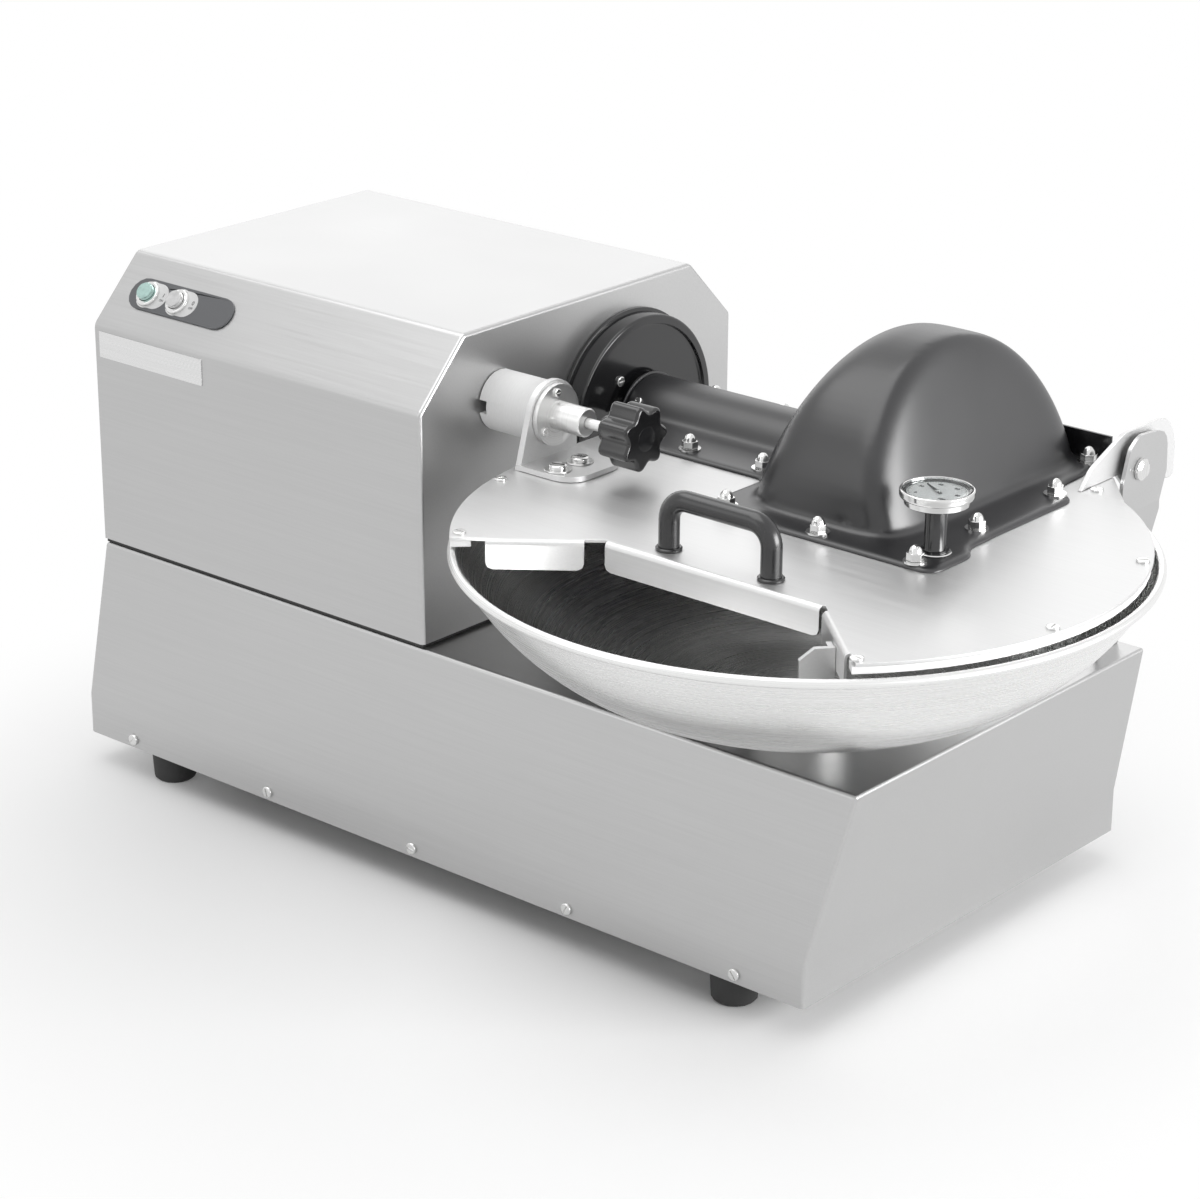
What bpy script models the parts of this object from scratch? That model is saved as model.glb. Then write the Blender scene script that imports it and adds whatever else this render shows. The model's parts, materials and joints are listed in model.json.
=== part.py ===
"""Meat bowl cutter: sheet-steel base and motor housing, turning bowl, knives under a hinged lid.

Metres, +Z up. Sizes are given in the base's own frame, whose origin lies on the floor under the
middle of the skirt. The empty bowl_cutter moves that frame so that the world's origin is the
bottom centre of the whole machine's box.
"""
import math

import bmesh
import bpy
from mathutils import Matrix, Vector

# Driving sizes; most of the others are placed from them
HOUSING_LENGTH = 0.3553
RIM_RADIUS = 0.2503
BOWL_DEPTH = 0.110
BASE_TOP_Z = 0.188

# General sizes
GAP = 0.0003
SHEET = 0.0015
RUNNING = 0.0004
SEAT = 0.0001

# Base: a folded skirt whose walls lean to the top; it is as long as housing and bowl need
HOUSING_TO_RIM = 0.0408
BOWL_TO_BASE_END = 0.0869
BOWL_TO_BASE_FRONT = 0.1031
HINGE_SETBACK = 0.0116
HINGE_TO_RIM = 0.0166
FOOT_HEIGHT = 0.025
FOOT_RADIUS = 0.0185
FOOT_INSET_X = 0.077
FOOT_INSET_Y = 0.0215
LEAN_FRONT = 0.0195
LEAN_BACK = 0.0134
LEAN_LEFT = 0.0067
FLARE_RIGHT = 0.026
SKIRT_BEND_Z = 0.059
SKIRT_LENGTH = LEAN_LEFT + HOUSING_LENGTH + HOUSING_TO_RIM + RIM_RADIUS + BOWL_TO_BASE_END
SKIRT_DEPTH = LEAN_BACK + HINGE_SETBACK + HINGE_TO_RIM + RIM_RADIUS + BOWL_TO_BASE_FRONT
SKIRT_LEFT = -SKIRT_LENGTH / 2
SKIRT_FRONT = -SKIRT_DEPTH / 2
TOP_LEFT = SKIRT_LEFT + LEAN_LEFT
TOP_RIGHT = SKIRT_LENGTH / 2 + FLARE_RIGHT
TOP_FRONT = SKIRT_FRONT + LEAN_FRONT
TOP_BACK = SKIRT_DEPTH / 2 - LEAN_BACK
SKIRT_CORNER = 0.003
TRAY_HEIGHT = 0.018
TRAY_LIFT = 0.001
VENT_LENGTH = 0.060
VENT_WIDTH = 0.006
VENT_PITCH = 0.016
VENT_COUNT = 5
VENT_INSET = 0.120

# Bowl
BOWL_TO_BASE = 0.0214
HOUSING_X = TOP_LEFT + HOUSING_LENGTH
HINGE_Y = TOP_BACK - HINGE_SETBACK
BOWL_X = HOUSING_X + HOUSING_TO_RIM + RIM_RADIUS
BOWL_Y = HINGE_Y - HINGE_TO_RIM - RIM_RADIUS
BOWL_LOW = BASE_TOP_Z + BOWL_TO_BASE
RIM_Z = BOWL_LOW + BOWL_DEPTH
BOWL_FLAT_RADIUS = 0.070
BOWL_WALL = 0.0025
RIM_BEAD = 0.0034
HUB_RADIUS = 0.041
SPINDLE_RADIUS = 0.012
SPINDLE_REACH = 0.049
HUB_CLEARANCE = 0.0008
HUB_CROWN = 0.004

# Heights over the rim
LID_TOP_Z = RIM_Z + 0.0089
SHAFT_Z = LID_TOP_Z + 0.0037
HINGE_Z = LID_TOP_Z + 0.0027
HOUSING_TOP_Z = SHAFT_Z + 0.0904

# Motor housing: flush with the base top's front, back and left edges
CHAMFER_DROP = 0.0508
CHAMFER_FRONT = 0.0486
CHAMFER_BACK = 0.0511
HOUSING_SHEET = 0.002
HOUSING_EDGE = 0.003
SEAL_HEIGHT = 0.0024
SEAL_WIDTH = 0.012
SEAL_SETBACK = 0.0012
HOUSING_INNER_X = HOUSING_X - HOUSING_SHEET
HOUSING_LOW = BASE_TOP_Z + SEAL_HEIGHT + 2 * GAP

# Knife shaft and knives
SHAFT_TO_RIM = 0.1002
SHAFT_Y = BOWL_Y + RIM_RADIUS - SHAFT_TO_RIM
SHAFT_RADIUS = 0.010
SHAFT_END = 0.003
KNIFE_COUNT = 3
KNIFE_CLEARANCE = 0.003
KNIFE_THICKNESS = 0.003
KNIFE_PITCH = 0.016
KNIFE_HUB_RADIUS = 0.021
KNIFE_SWEEP = math.radians(105)
KNIFE_BACK = 24
KNIFE_STEPS = 12
KNIFE_EDGE = 0.0006
COLLAR_RADIUS = 0.017
COLLAR_LENGTH = 0.006
CLAMP_NUT_RADIUS = 0.017
CLAMP_NUT_LENGTH = 0.013

# Knife drive
BEARING_RADIUS = 0.0235
BEARING_WIDTH = 0.014
TUBE_WALL = 0.0065
QUILL_TO_PULLEY = 0.006
QUILL_FLANGE_RADIUS = 0.046
QUILL_FLANGE = 0.008
DISC_RADIUS = 0.083
DISC_FRONT_RADIUS = 0.0803
DISC_DEPTH = 0.019
DISC_LIP = 0.003
DISC_EDGE = 0.0022
DISC_DROP = 0.013
DISC_RECESS_RADIUS = 0.072
DISC_RECESS = 0.003

# Motor and belts
MOTOR_Y = BOWL_Y + 0.0344
MOTOR_Z = SHAFT_Z - 0.047
MOTOR_RADIUS = 0.069
MOTOR_FIN = 0.006
MOTOR_FINS = 20
MOTOR_LENGTH = 0.115
MOTOR_END = 0.030
MOTOR_FOOT_HALF = 0.058
MOTOR_TO_PULLEY = 0.010
MOTOR_TO_WALL = 0.030
TERMINAL_BOX = (0.070, 0.064, 0.045)
MOTOR_SHAFT_RADIUS = 0.012
PULLEY_WIDTH = 0.018
PULLEY_PITCH_MOTOR = 0.035
PULLEY_PITCH_KNIFE = 0.025
PULLEY_PITCH_BOWL_DRIVE = 0.025
PULLEY_PITCH_WORM = 0.040
PULLEY_RIM = 0.004
PULLEY_GAP = 0.002
GROOVE_FLARE = 0.0015
BELT_WIDTH = 0.008
BELT_BELOW = 0.003
BELT_ABOVE = 0.0025
QUILL_LENGTH = (HOUSING_LENGTH - HOUSING_SHEET - GAP - QUILL_TO_PULLEY - PULLEY_WIDTH
                - MOTOR_TO_PULLEY - 2 * MOTOR_END - MOTOR_LENGTH - MOTOR_TO_WALL)
PULLEY_X = HOUSING_INNER_X - GAP - QUILL_LENGTH - PULLEY_WIDTH / 2 - QUILL_TO_PULLEY
BOWL_PULLEY_X = PULLEY_X + PULLEY_WIDTH + PULLEY_GAP
MOTOR_FACE_X = PULLEY_X - PULLEY_WIDTH / 2 - MOTOR_TO_PULLEY

# Bowl drive
WORM_OFFSET_Y = 0.045
WORM_DROP = 0.083
WORM_Y = BOWL_Y + WORM_OFFSET_Y
WORM_Z = BASE_TOP_Z - WORM_DROP
WORM_RADIUS = 0.008
WORM_TUBE_RADIUS = 0.020
WORM_TUBE_LEFT = BOWL_PULLEY_X + PULLEY_WIDTH / 2 + 0.004
GEARBOX_HALF_X = 0.048
GEARBOX_HALF_Z = 0.045
GEARBOX_FRONT = 0.046
GEARBOX_BACK = 0.072
GEARBOX_CORNER = 0.006
NECK_RADIUS = 0.029
NECK_FLANGE_RADIUS = 0.048
NECK_FLANGE = 0.0045
NECK_TOP = BASE_TOP_Z + GAP + NECK_FLANGE
BORE_DEPTH = 0.030

# Lid plate: a round plate round the bowl's axis, cut away in front
LID_RADIUS = RIM_RADIUS - 0.0053
LID_X = BOWL_X - 0.0041
LID_Y = BOWL_Y - 0.0008
LID_SHEET = 0.0025
LID_LOW = LID_TOP_Z - LID_SHEET
OPENING_TIP_ANGLE = math.radians(44.249)
OPENING_TIP_HALF = LID_RADIUS * math.cos(OPENING_TIP_ANGLE)
OPENING_LEFT_X = LID_X - 0.0905
OPENING_RIGHT_X = LID_X + 0.1000
OPENING_Y = LID_Y - 0.1028
TAB_HEIGHT = 0.022
TAB_BEND = 0.004
TAB_CORNER = 0.005
TAB_INSETS = ((0.0250, 0.01495), (0.0020, 0.0020), (0.0087, 0.01771))
SLOT_HALF = 0.018
TONGUE_BACK_Y = SHAFT_Y + 0.0523
LID_BACK_Y = HINGE_Y + 0.0015
WINDOW_LEFT = BOWL_X - 0.0481
WINDOW_RIGHT = BOWL_X + 0.0479
WINDOW_FRONT = SHAFT_Y - 0.0917
WINDOW_BACK = LID_BACK_Y - 0.027
RING_RADIUS = LID_RADIUS - 0.007
RING_WIDTH = 0.012
RING_HEIGHT = 0.005
UPSTAND_HEIGHT = 0.0215
UPSTAND_SHEET = 0.002

# Knife cover: dome, half tube and flange
FLANGE_SHEET = 0.003
FLANGE_LOW = LID_TOP_Z + GAP
FLANGE_TOP = FLANGE_LOW + FLANGE_SHEET
COVER_WALL = 0.003
DOME_LEFT = BOWL_X - 0.0701
DOME_RIGHT = BOWL_X + 0.0569
DOME_MIDDLE = BOWL_X + 0.0009
DOME_HALF_WIDTH = 0.119
DOME_TO_BACK = 0.005
DOME_Y = LID_BACK_Y - DOME_TO_BACK - DOME_HALF_WIDTH
DOME_HEIGHT = 0.1147
DOME_POWER_LEFT = 2.5
DOME_POWER_RIGHT = 5.0
DOME_POWER_SECTION = 2.25
COVER_AXIS_Z = SHAFT_Z - DISC_DROP
COVER_TUBE_RADIUS = 0.035
COVER_TUBE_LEFT = HOUSING_X + GAP + DISC_DEPTH + 0.0022
COVER_FLANGE_LEFT = LID_X - LID_RADIUS + 0.006

# Lid hinge
EAR_OFFSET = 0.0995
EAR_SHEET = 0.003
EAR_LEFT_X = LID_X - EAR_OFFSET
EAR_RIGHT_X = LID_X + EAR_OFFSET
EAR_FRONT_Y = HINGE_Y - 0.0665
EAR_BACK_Y = HINGE_Y - 0.0245
EAR_TOP = 0.0275
EAR_TAIL = 0.061
EAR_HOOK_DROP = 0.0225
LID_BACK_LEFT = EAR_LEFT_X + 0.0155
LID_BACK_RIGHT = EAR_RIGHT_X - 0.0155
POST_GAP = 0.005
POST_BEND_Z = HINGE_Z - 0.032
POST_FOOT_SHIFT = 0.013
POST_FOOT = 0.022
POST_FRONT_Y = HINGE_Y - 0.0225
POST_BOSS_RADIUS = 0.009
PIN_RADIUS = 0.004
PIN_HEAD_RADIUS = 0.0085
PIN_HEAD = 0.0045

# Handle
HANDLE_X = LID_X - 0.0014
HANDLE_Y = OPENING_Y + 0.0145
HANDLE_SPAN = 0.0891
HANDLE_RISE = 0.038
HANDLE_RADIUS = 0.0075
HANDLE_CORNER = 0.016

# Lock
LOCK_Y = LID_Y + 0.0035
LOCK_Z = LID_TOP_Z + 0.0355
LOCK_WALL_GAP = 0.0008
LOCK_BLOCK_LENGTH = 0.0479
LOCK_LEFT = HOUSING_X + LOCK_WALL_GAP
LOCK_PLATE_X = LOCK_LEFT + LOCK_BLOCK_LENGTH + GAP
LOCK_PLATE = 0.005
LOCK_FACE_X = LOCK_PLATE_X + LOCK_PLATE + GAP
LOCK_BASE_LENGTH = 0.056
LOCK_BASE_SHEET = 0.004
LOCK_BASE_CORNER = 0.018
BRACKET_Y = LOCK_Y - 0.0073
BRACKET_HALF = 0.030
BRACKET_MARGIN = 0.0025
LOCK_RADIUS = 0.0235
LOCK_FLANGE = 0.004
BUSHING_RADIUS = 0.011
BUSHING_LENGTH = 0.029
LOCK_SLOT_WIDTH = 0.010
LOCK_SLOT_DEPTH = 0.007
PIN_ROD_RADIUS = 0.005
PIN_ROD_LENGTH = 0.040
SPINDLE_ROD_RADIUS = 0.004
SPINDLE_EXPOSED = 0.018
SPINDLE_LEFT = LOCK_LEFT + LOCK_SLOT_DEPTH - 0.003 + PIN_ROD_LENGTH + GAP
SPINDLE_RIGHT = LOCK_FACE_X + LOCK_FLANGE + BUSHING_LENGTH + SPINDLE_EXPOSED
KNOB_RADIUS = 0.025
KNOB_LOBE = 0.0028
KNOB_LOBES = 7
KNOB_LENGTH = 0.028
KNOB_HUB_RADIUS = 0.010
KNOB_HUB_LENGTH = 0.010

# Scraper plate on the right tab
SCRAPER_FROM_TIP = 0.0447
SCRAPER_REACH = 0.028
SCRAPER_TOP = LID_TOP_Z - 0.0063
SCRAPER_THICKNESS = 0.004
SCRAPER_FOOT = 0.012
SCRAPER_CLEARANCE = 0.004

# Thermometer
GAUGE_X = BOWL_X + 0.0959
GAUGE_Y = DOME_Y - DOME_HALF_WIDTH - 0.0054
GAUGE_STEM_RADIUS = 0.00785
GAUGE_STEM_HEIGHT = 0.0345
GAUGE_FOOT_RADIUS = 0.010
GAUGE_FOOT = 0.003
PROBE_RADIUS = 0.003
PROBE_LENGTH = 0.066
GAUGE_RADIUS = 0.026
GAUGE_DEPTH = 0.0115
GAUGE_BEZEL = 0.002
GAUGE_FLOOR = 0.006
DIAL_THICKNESS = 0.001
POINTER_LENGTH = 0.017
POINTER_THICKNESS = 0.0006
POINTER_REST = 60
LENS_THICKNESS = 0.002
STEM_TOP = FLANGE_TOP + GAP + GAUGE_STEM_HEIGHT
CASE_LOW = STEM_TOP + GAP

# Control panel on the front chamfer
PANEL_X = TOP_LEFT + 0.0763
PANEL_LENGTH = 0.114
PANEL_HEIGHT = 0.0275
PANEL_THICKNESS = 0.0015
BUTTON_X = (PANEL_X - 0.0366, PANEL_X - 0.0030)
BEZEL_RADIUS = 0.011
BEZEL_BORE = 0.0078
BEZEL_HEIGHT = 0.003
BEZEL_BODY_RADIUS = 0.0095
BEZEL_BODY_LENGTH = 0.012
COLLAR_TOP = PANEL_THICKNESS + GAP + BEZEL_HEIGHT
BUTTON_PROUD = 0.0045
BUTTON_TRAVEL = 0.003
BUTTON_GREEN = (0.03, 0.28, 0.20)
BUTTON_GREY = (0.30, 0.30, 0.31)

# Cable gland on the back wall
GLAND_X = TOP_LEFT + 0.1133
GLAND_Z = SKIRT_BEND_Z + 0.041
GLAND_RADIUS = 0.012
GLAND_LENGTH = 0.022

STEEL = ((0.62, 0.62, 0.61), 0.32, 1.0)
POLISHED = ((0.78, 0.78, 0.77), 0.18, 1.0)
ALUMINIUM = ((0.80, 0.80, 0.80), 0.35, 1.0)
BLACK = ((0.012, 0.012, 0.013), 0.38, 0.0)
RUBBER = ((0.02, 0.02, 0.02), 0.8, 0.0)
NYLON = ((0.86, 0.86, 0.84), 0.45, 0.0)
CAST = ((0.22, 0.24, 0.25), 0.6, 0.3)
PANEL_GREY = ((0.10, 0.10, 0.11), 0.4, 0.0)
GLASS = ((0.9, 0.93, 0.95), 0.05, 0.0)

# Orientation of a piece that is drawn in its own XY plane, or turned about its own Z
UPRIGHT = Matrix.Identity(3)
ALONG_X = Matrix(((0, 0, 1), (1, 0, 0), (0, 1, 0)))


def clear_scene():
    for obj in list(bpy.data.objects):
        bpy.data.objects.remove(obj)


def new_collection(name):
    collection = bpy.data.collections.new(name)
    bpy.context.scene.collection.children.link(collection)
    return collection


clear_scene()
PARTS = new_collection("bowl_cutter_parts")
CUTTERS = new_collection("cutters")
BODIES = {}


def add_body(name, location, parent=None):
    """An empty that carries the pieces of one rigid body; a hinge's empty sits on its axis."""
    empty = bpy.data.objects.new(name, None)
    PARTS.objects.link(empty)
    origin = Vector(location)
    if parent:
        empty.parent = BODIES[parent][0]
        empty.location = origin - BODIES[parent][1]
    else:
        empty.location = origin
        origin = Vector()
    BODIES[name] = (empty, origin)


def finish_material(obj, finish):
    colour, roughness, metallic = finish
    material = bpy.data.materials.new(obj.name + "_finish")
    material.use_nodes = True
    shader = material.node_tree.nodes["Principled BSDF"]
    shader.inputs["Base Color"].default_value = (*colour, 1.0)
    shader.inputs["Roughness"].default_value = roughness
    shader.inputs["Metallic"].default_value = metallic
    obj.data.materials.clear()
    obj.data.materials.append(material)


def place(obj, body, finish, at=(0, 0, 0), turn=UPRIGHT):
    """Put a finished piece on its body, at a point of the base's frame."""
    empty, origin = BODIES[body]
    obj.parent = empty
    obj.location = Vector(at) - origin
    obj.rotation_euler = turn.to_euler()
    finish_material(obj, finish)
    return obj


def from_bmesh(name, bm, collection=None):
    mesh = bpy.data.meshes.new(name)
    bm.to_mesh(mesh)
    bm.free()
    obj = bpy.data.objects.new(name, mesh)
    (collection or PARTS).objects.link(obj)
    return obj


def baked_mesh(obj):
    """The object's evaluated mesh, welded; the object itself is removed."""
    bpy.context.view_layer.update()
    graph = bpy.context.evaluated_depsgraph_get()
    mesh = bpy.data.meshes.new_from_object(obj.evaluated_get(graph))
    bpy.data.objects.remove(obj)
    bm = bmesh.new()
    bm.from_mesh(mesh)
    bmesh.ops.remove_doubles(bm, verts=bm.verts, dist=0.00001)
    bm.to_mesh(mesh)
    bm.free()
    return mesh


def settled(obj):
    """The same object with its modifiers applied."""
    name = obj.name
    fresh = bpy.data.objects.new(name, baked_mesh(obj))
    PARTS.objects.link(fresh)
    fresh.name = name
    return fresh


def block(name, low, high, round_off=0.0, segments=2, collection=None):
    """A box between two corners, with its edges rounded."""
    low, high = Vector(low), Vector(high)
    bm = bmesh.new()
    bmesh.ops.create_cube(bm, size=1.0)
    bmesh.ops.scale(bm, vec=high - low, verts=bm.verts)
    bmesh.ops.translate(bm, vec=(low + high) / 2, verts=bm.verts)
    if round_off:
        bmesh.ops.bevel(bm, geom=bm.edges[:], offset=round_off, segments=segments, profile=0.5,
                        affect='EDGES')
    return from_bmesh(name, bm, collection)


def turned(name, profile, steps, closed=False, collection=None):
    """A profile of (radius, height) turned about Z; it runs from top to bottom on its outer side."""
    bm = bmesh.new()
    verts = [bm.verts.new((radius, 0, height)) for radius, height in profile]
    for first, second in zip(verts, verts[1:]):
        bm.edges.new((first, second))
    if closed:
        bm.edges.new((verts[-1], verts[0]))
    obj = from_bmesh(name, bm, collection)
    screw = obj.modifiers.new("turn", 'SCREW')
    screw.axis = 'Z'
    screw.angle = 2 * math.pi
    screw.steps = screw.render_steps = steps
    screw.use_merge_vertices = True
    screw.merge_threshold = 0.00001
    return obj


def ring(name, inner, outer, low, high, steps, collection=None):
    return turned(name, ((inner, high), (outer, high), (outer, low), (inner, low)), steps, True,
                  collection)


def disc(name, radius, low, high, steps, collection=None):
    return turned(name, ((0, high), (radius, high), (radius, low), (0, low)), steps,
                  collection=collection)


def plate(name, loops, thickness, collection=None):
    """A flat outline in XY, with its holes, given a thickness about Z = 0."""
    curve = bpy.data.curves.new(name, 'CURVE')
    curve.dimensions = '2D'
    curve.fill_mode = 'BOTH'
    curve.extrude = thickness / 2
    for loop in loops:
        spline = curve.splines.new('POLY')
        spline.points.add(len(loop) - 1)
        for point, (x, y) in zip(spline.points, loop):
            point.co = (x, y, 0, 1)
        spline.use_cyclic_u = True
    drawn = bpy.data.objects.new(name + "_outline", curve)
    CUTTERS.objects.link(drawn)
    obj = bpy.data.objects.new(name, baked_mesh(drawn))
    (collection or PARTS).objects.link(obj)
    return obj


def arc(centre, radius, start, end, steps):
    """Points on an arc, angles in degrees, both ends included."""
    for step in range(steps + 1):
        angle = math.radians(start + (end - start) * step / steps)
        yield (centre[0] + radius * math.cos(angle), centre[1] + radius * math.sin(angle))


def circle(centre, radius, steps):
    return list(arc(centre, radius, 0, 360 - 360 / steps, steps - 1))


def rounded(corners, steps=3):
    """An outline from (x, y, radius) corners, each turned into an arc."""
    points = []
    for index, (x, y, radius) in enumerate(corners):
        corner = Vector((x, y))
        if not radius:
            points.append((x, y))
            continue
        before = (Vector(corners[index - 1][:2]) - corner).normalized()
        after = (Vector(corners[(index + 1) % len(corners)][:2]) - corner).normalized()
        half = before.angle(after) / 2
        centre = corner + (before + after).normalized() * (radius / math.sin(half))
        start = corner + before * (radius / math.tan(half)) - centre
        end = corner + after * (radius / math.tan(half)) - centre
        first = math.atan2(start.y, start.x)
        swing = (math.atan2(end.y, end.x) - first + math.pi) % (2 * math.pi) - math.pi
        for step in range(steps + 1):
            angle = first + swing * step / steps
            points.append((centre.x + radius * math.cos(angle), centre.y + radius * math.sin(angle)))
    return points


def use_operand(obj, operation, *others):
    """Join other objects to a piece, or cut them from it, with exact Booleans."""
    for other in others:
        other.hide_render = True
        other.display_type = 'WIRE'
        for collection in list(other.users_collection):
            collection.objects.unlink(other)
        CUTTERS.objects.link(other)
        boolean = obj.modifiers.new(other.name, 'BOOLEAN')
        boolean.operation = operation
        boolean.solver = 'EXACT'
        boolean.object = other
    return obj


def cut(obj, *cutters):
    return use_operand(obj, 'DIFFERENCE', *cutters)


def join(obj, *others):
    return use_operand(obj, 'UNION', *others)


def flush(obj):
    """Use the solver that takes flush faces in a piece's Booleans."""
    for boolean in obj.modifiers:
        boolean.solver = 'MANIFOLD'
    return obj


def like(other, obj, at=(0, 0, 0), turn=UPRIGHT):
    """Place a cutter or an addition in the same body as the piece that it shapes."""
    empty, origin = next(pair for pair in BODIES.values() if pair[0] == obj.parent)
    other.parent = empty
    other.location = Vector(at) - origin
    other.rotation_euler = turn.to_euler()
    return other


def copies(source, body, finish, places):
    """Separate objects of one shape, as (name, position, turn)."""
    mesh = baked_mesh(source)
    for name, spot, turn in places:
        obj = bpy.data.objects.new(name, mesh.copy())
        PARTS.objects.link(obj)
        place(obj, body, finish, spot, turn)


def shell(obj, thickness):
    """Give an open surface a wall on its inner side."""
    wall = obj.modifiers.new("wall", 'SOLIDIFY')
    wall.thickness = thickness
    wall.offset = -1.0
    wall.use_even_offset = True
    return obj


def chamfer_turn():
    """Orientation of what sits on the front chamfer: its own Z points straight out of it."""
    up = Vector((0, CHAMFER_FRONT, CHAMFER_DROP)).normalized()
    along = Vector((1, 0, 0))
    out = along.cross(up)
    return Matrix((along, up, out)).transposed()


def chamfer_point(x, lift=0.0):
    """A point on the middle line of the front chamfer, lifted off it."""
    middle = Vector((x, TOP_FRONT + CHAMFER_FRONT / 2, HOUSING_TOP_Z - CHAMFER_DROP / 2))
    return middle + chamfer_turn().col[2] * lift




def make_base_shell():
    """Folded skirt: upright to the bend, then walls that lean to the flat top, open below."""
    bm = bmesh.new()
    bmesh.ops.create_cube(bm, size=1.0)
    bmesh.ops.scale(bm, vec=(SKIRT_LENGTH, SKIRT_DEPTH, BASE_TOP_Z - FOOT_HEIGHT), verts=bm.verts)
    bmesh.ops.translate(bm, vec=(0, 0, (BASE_TOP_Z + FOOT_HEIGHT) / 2), verts=bm.verts)
    bmesh.ops.bisect_plane(bm, geom=bm.verts[:] + bm.edges[:] + bm.faces[:],
                           plane_co=(0, 0, SKIRT_BEND_Z), plane_no=(0, 0, 1))
    for vert in bm.verts:
        if vert.co.z > (BASE_TOP_Z + SKIRT_BEND_Z) / 2:
            vert.co.x = TOP_LEFT if vert.co.x < 0 else TOP_RIGHT
            vert.co.y = TOP_FRONT if vert.co.y < 0 else TOP_BACK
    bm.normal_update()
    floor = [face for face in bm.faces if face.normal.z < -0.9]
    bmesh.ops.delete(bm, geom=floor, context='FACES_ONLY')
    folds = [edge for edge in bm.edges if not edge.is_boundary
             and (abs(edge.verts[0].co.z - edge.verts[1].co.z) > 0.001
                  or edge.verts[0].co.z > SKIRT_BEND_Z + 0.001)]
    bmesh.ops.bevel(bm, geom=folds, offset=SKIRT_CORNER, segments=2, profile=0.5, affect='EDGES')
    obj = shell(from_bmesh("base_shell", bm), SHEET)
    place(obj, "frame", STEEL)
    neck = disc("neck_hole", NECK_RADIUS + 2 * GAP, BASE_TOP_Z - 0.02, BASE_TOP_Z + 0.02, 24)
    slot = block("belt_slot", (BOWL_PULLEY_X - PULLEY_WIDTH / 2, MOTOR_Y - PULLEY_PITCH_WORM, 0.17),
                 (BOWL_PULLEY_X + PULLEY_WIDTH / 2, WORM_Y + PULLEY_PITCH_WORM, 0.20))
    gland = disc("gland_hole", GLAND_RADIUS * 0.7 + GAP, -0.02, 0.02, 12)
    cut(obj, like(neck, obj, (BOWL_X, BOWL_Y, 0)), like(slot, obj),
        like(gland, obj, gland_point(), gland_turn()))
    return obj


def gland_turn():
    """The gland's own Z points straight out of the leaning back wall."""
    out = Vector((0, BASE_TOP_Z - SKIRT_BEND_Z, LEAN_BACK)).normalized()
    along = Vector((1, 0, 0))
    return Matrix((along, out.cross(along), out)).transposed()


def gland_point():
    share = (GLAND_Z - SKIRT_BEND_Z) / (BASE_TOP_Z - SKIRT_BEND_Z)
    return (GLAND_X, -SKIRT_FRONT - LEAN_BACK * share, GLAND_Z)


def make_cable_gland():
    """Clamping nut outside, thread through the wall, lock nut inside; the cable is left out."""
    bore = GLAND_RADIUS * 0.4
    body = GLAND_RADIUS * 0.7
    inside = -SHEET - GAP
    obj = turned("cable_gland", ((bore, GLAND_LENGTH), (body, GLAND_LENGTH),
                                 (GLAND_RADIUS, GLAND_LENGTH * 0.6), (GLAND_RADIUS, GAP),
                                 (body, GAP), (body, inside), (GLAND_RADIUS, inside),
                                 (GLAND_RADIUS, inside - 0.005), (bore, inside - 0.005)), 12, True)
    return place(obj, "frame", BLACK, gland_point(), gland_turn())


def make_base_tray():
    """Bottom plate with upturned edges, which the skirt's screws hold."""
    half_x = SKIRT_LENGTH / 2 - SHEET - GAP
    half_y = SKIRT_DEPTH / 2 - SHEET - GAP
    low = FOOT_HEIGHT + TRAY_LIFT
    bm = bmesh.new()
    bmesh.ops.create_cube(bm, size=1.0)
    bmesh.ops.scale(bm, vec=(2 * half_x, 2 * half_y, TRAY_HEIGHT), verts=bm.verts)
    bmesh.ops.translate(bm, vec=(0, 0, low + TRAY_HEIGHT / 2), verts=bm.verts)
    top = [face for face in bm.faces if face.normal.z > 0.9]
    bmesh.ops.delete(bm, geom=top, context='FACES_ONLY')
    folds = [edge for edge in bm.edges if not edge.is_boundary]
    bmesh.ops.bevel(bm, geom=folds, offset=SKIRT_CORNER, segments=1, profile=0.5, affect='EDGES')
    obj = shell(from_bmesh("base_tray", bm), SHEET)
    place(obj, "frame", STEEL)
    for index in range(VENT_COUNT):
        x = SKIRT_LEFT + VENT_INSET + VENT_PITCH * index
        vent = block("tray_vent", (x, -VENT_LENGTH / 2, low - 0.01),
                     (x + VENT_WIDTH, VENT_LENGTH / 2, low + 0.01))
        cut(obj, like(vent, obj))
    return obj


def make_feet():
    top = FOOT_HEIGHT + TRAY_LIFT - GAP
    foot = turned("foot", ((0, top), (FOOT_RADIUS, top), (FOOT_RADIUS - 0.0015, 0.002),
                           (FOOT_RADIUS - 0.0035, 0), (0, 0)), 16)
    x, y = SKIRT_LEFT + FOOT_INSET_X, SKIRT_FRONT + FOOT_INSET_Y
    copies(foot, "frame", RUBBER,
           (("foot_front_left", (x, y, 0), UPRIGHT), ("foot_front_right", (-x, y, 0), UPRIGHT),
            ("foot_rear_left", (x, -y, 0), UPRIGHT), ("foot_rear_right", (-x, -y, 0), UPRIGHT)))


def housing_outline(inset=0.0):
    """The housing's section across its length, as (y, z)."""
    front, back, top = TOP_FRONT + inset, TOP_BACK - inset, HOUSING_TOP_Z - inset
    slope = inset * math.tan(math.radians(22.5))
    chamfer_low = HOUSING_TOP_Z - CHAMFER_DROP - slope
    return [(front, HOUSING_LOW), (back, HOUSING_LOW), (back, chamfer_low),
            (TOP_BACK - CHAMFER_BACK - slope, top), (TOP_FRONT + CHAMFER_FRONT + slope, top),
            (front, chamfer_low)]


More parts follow.
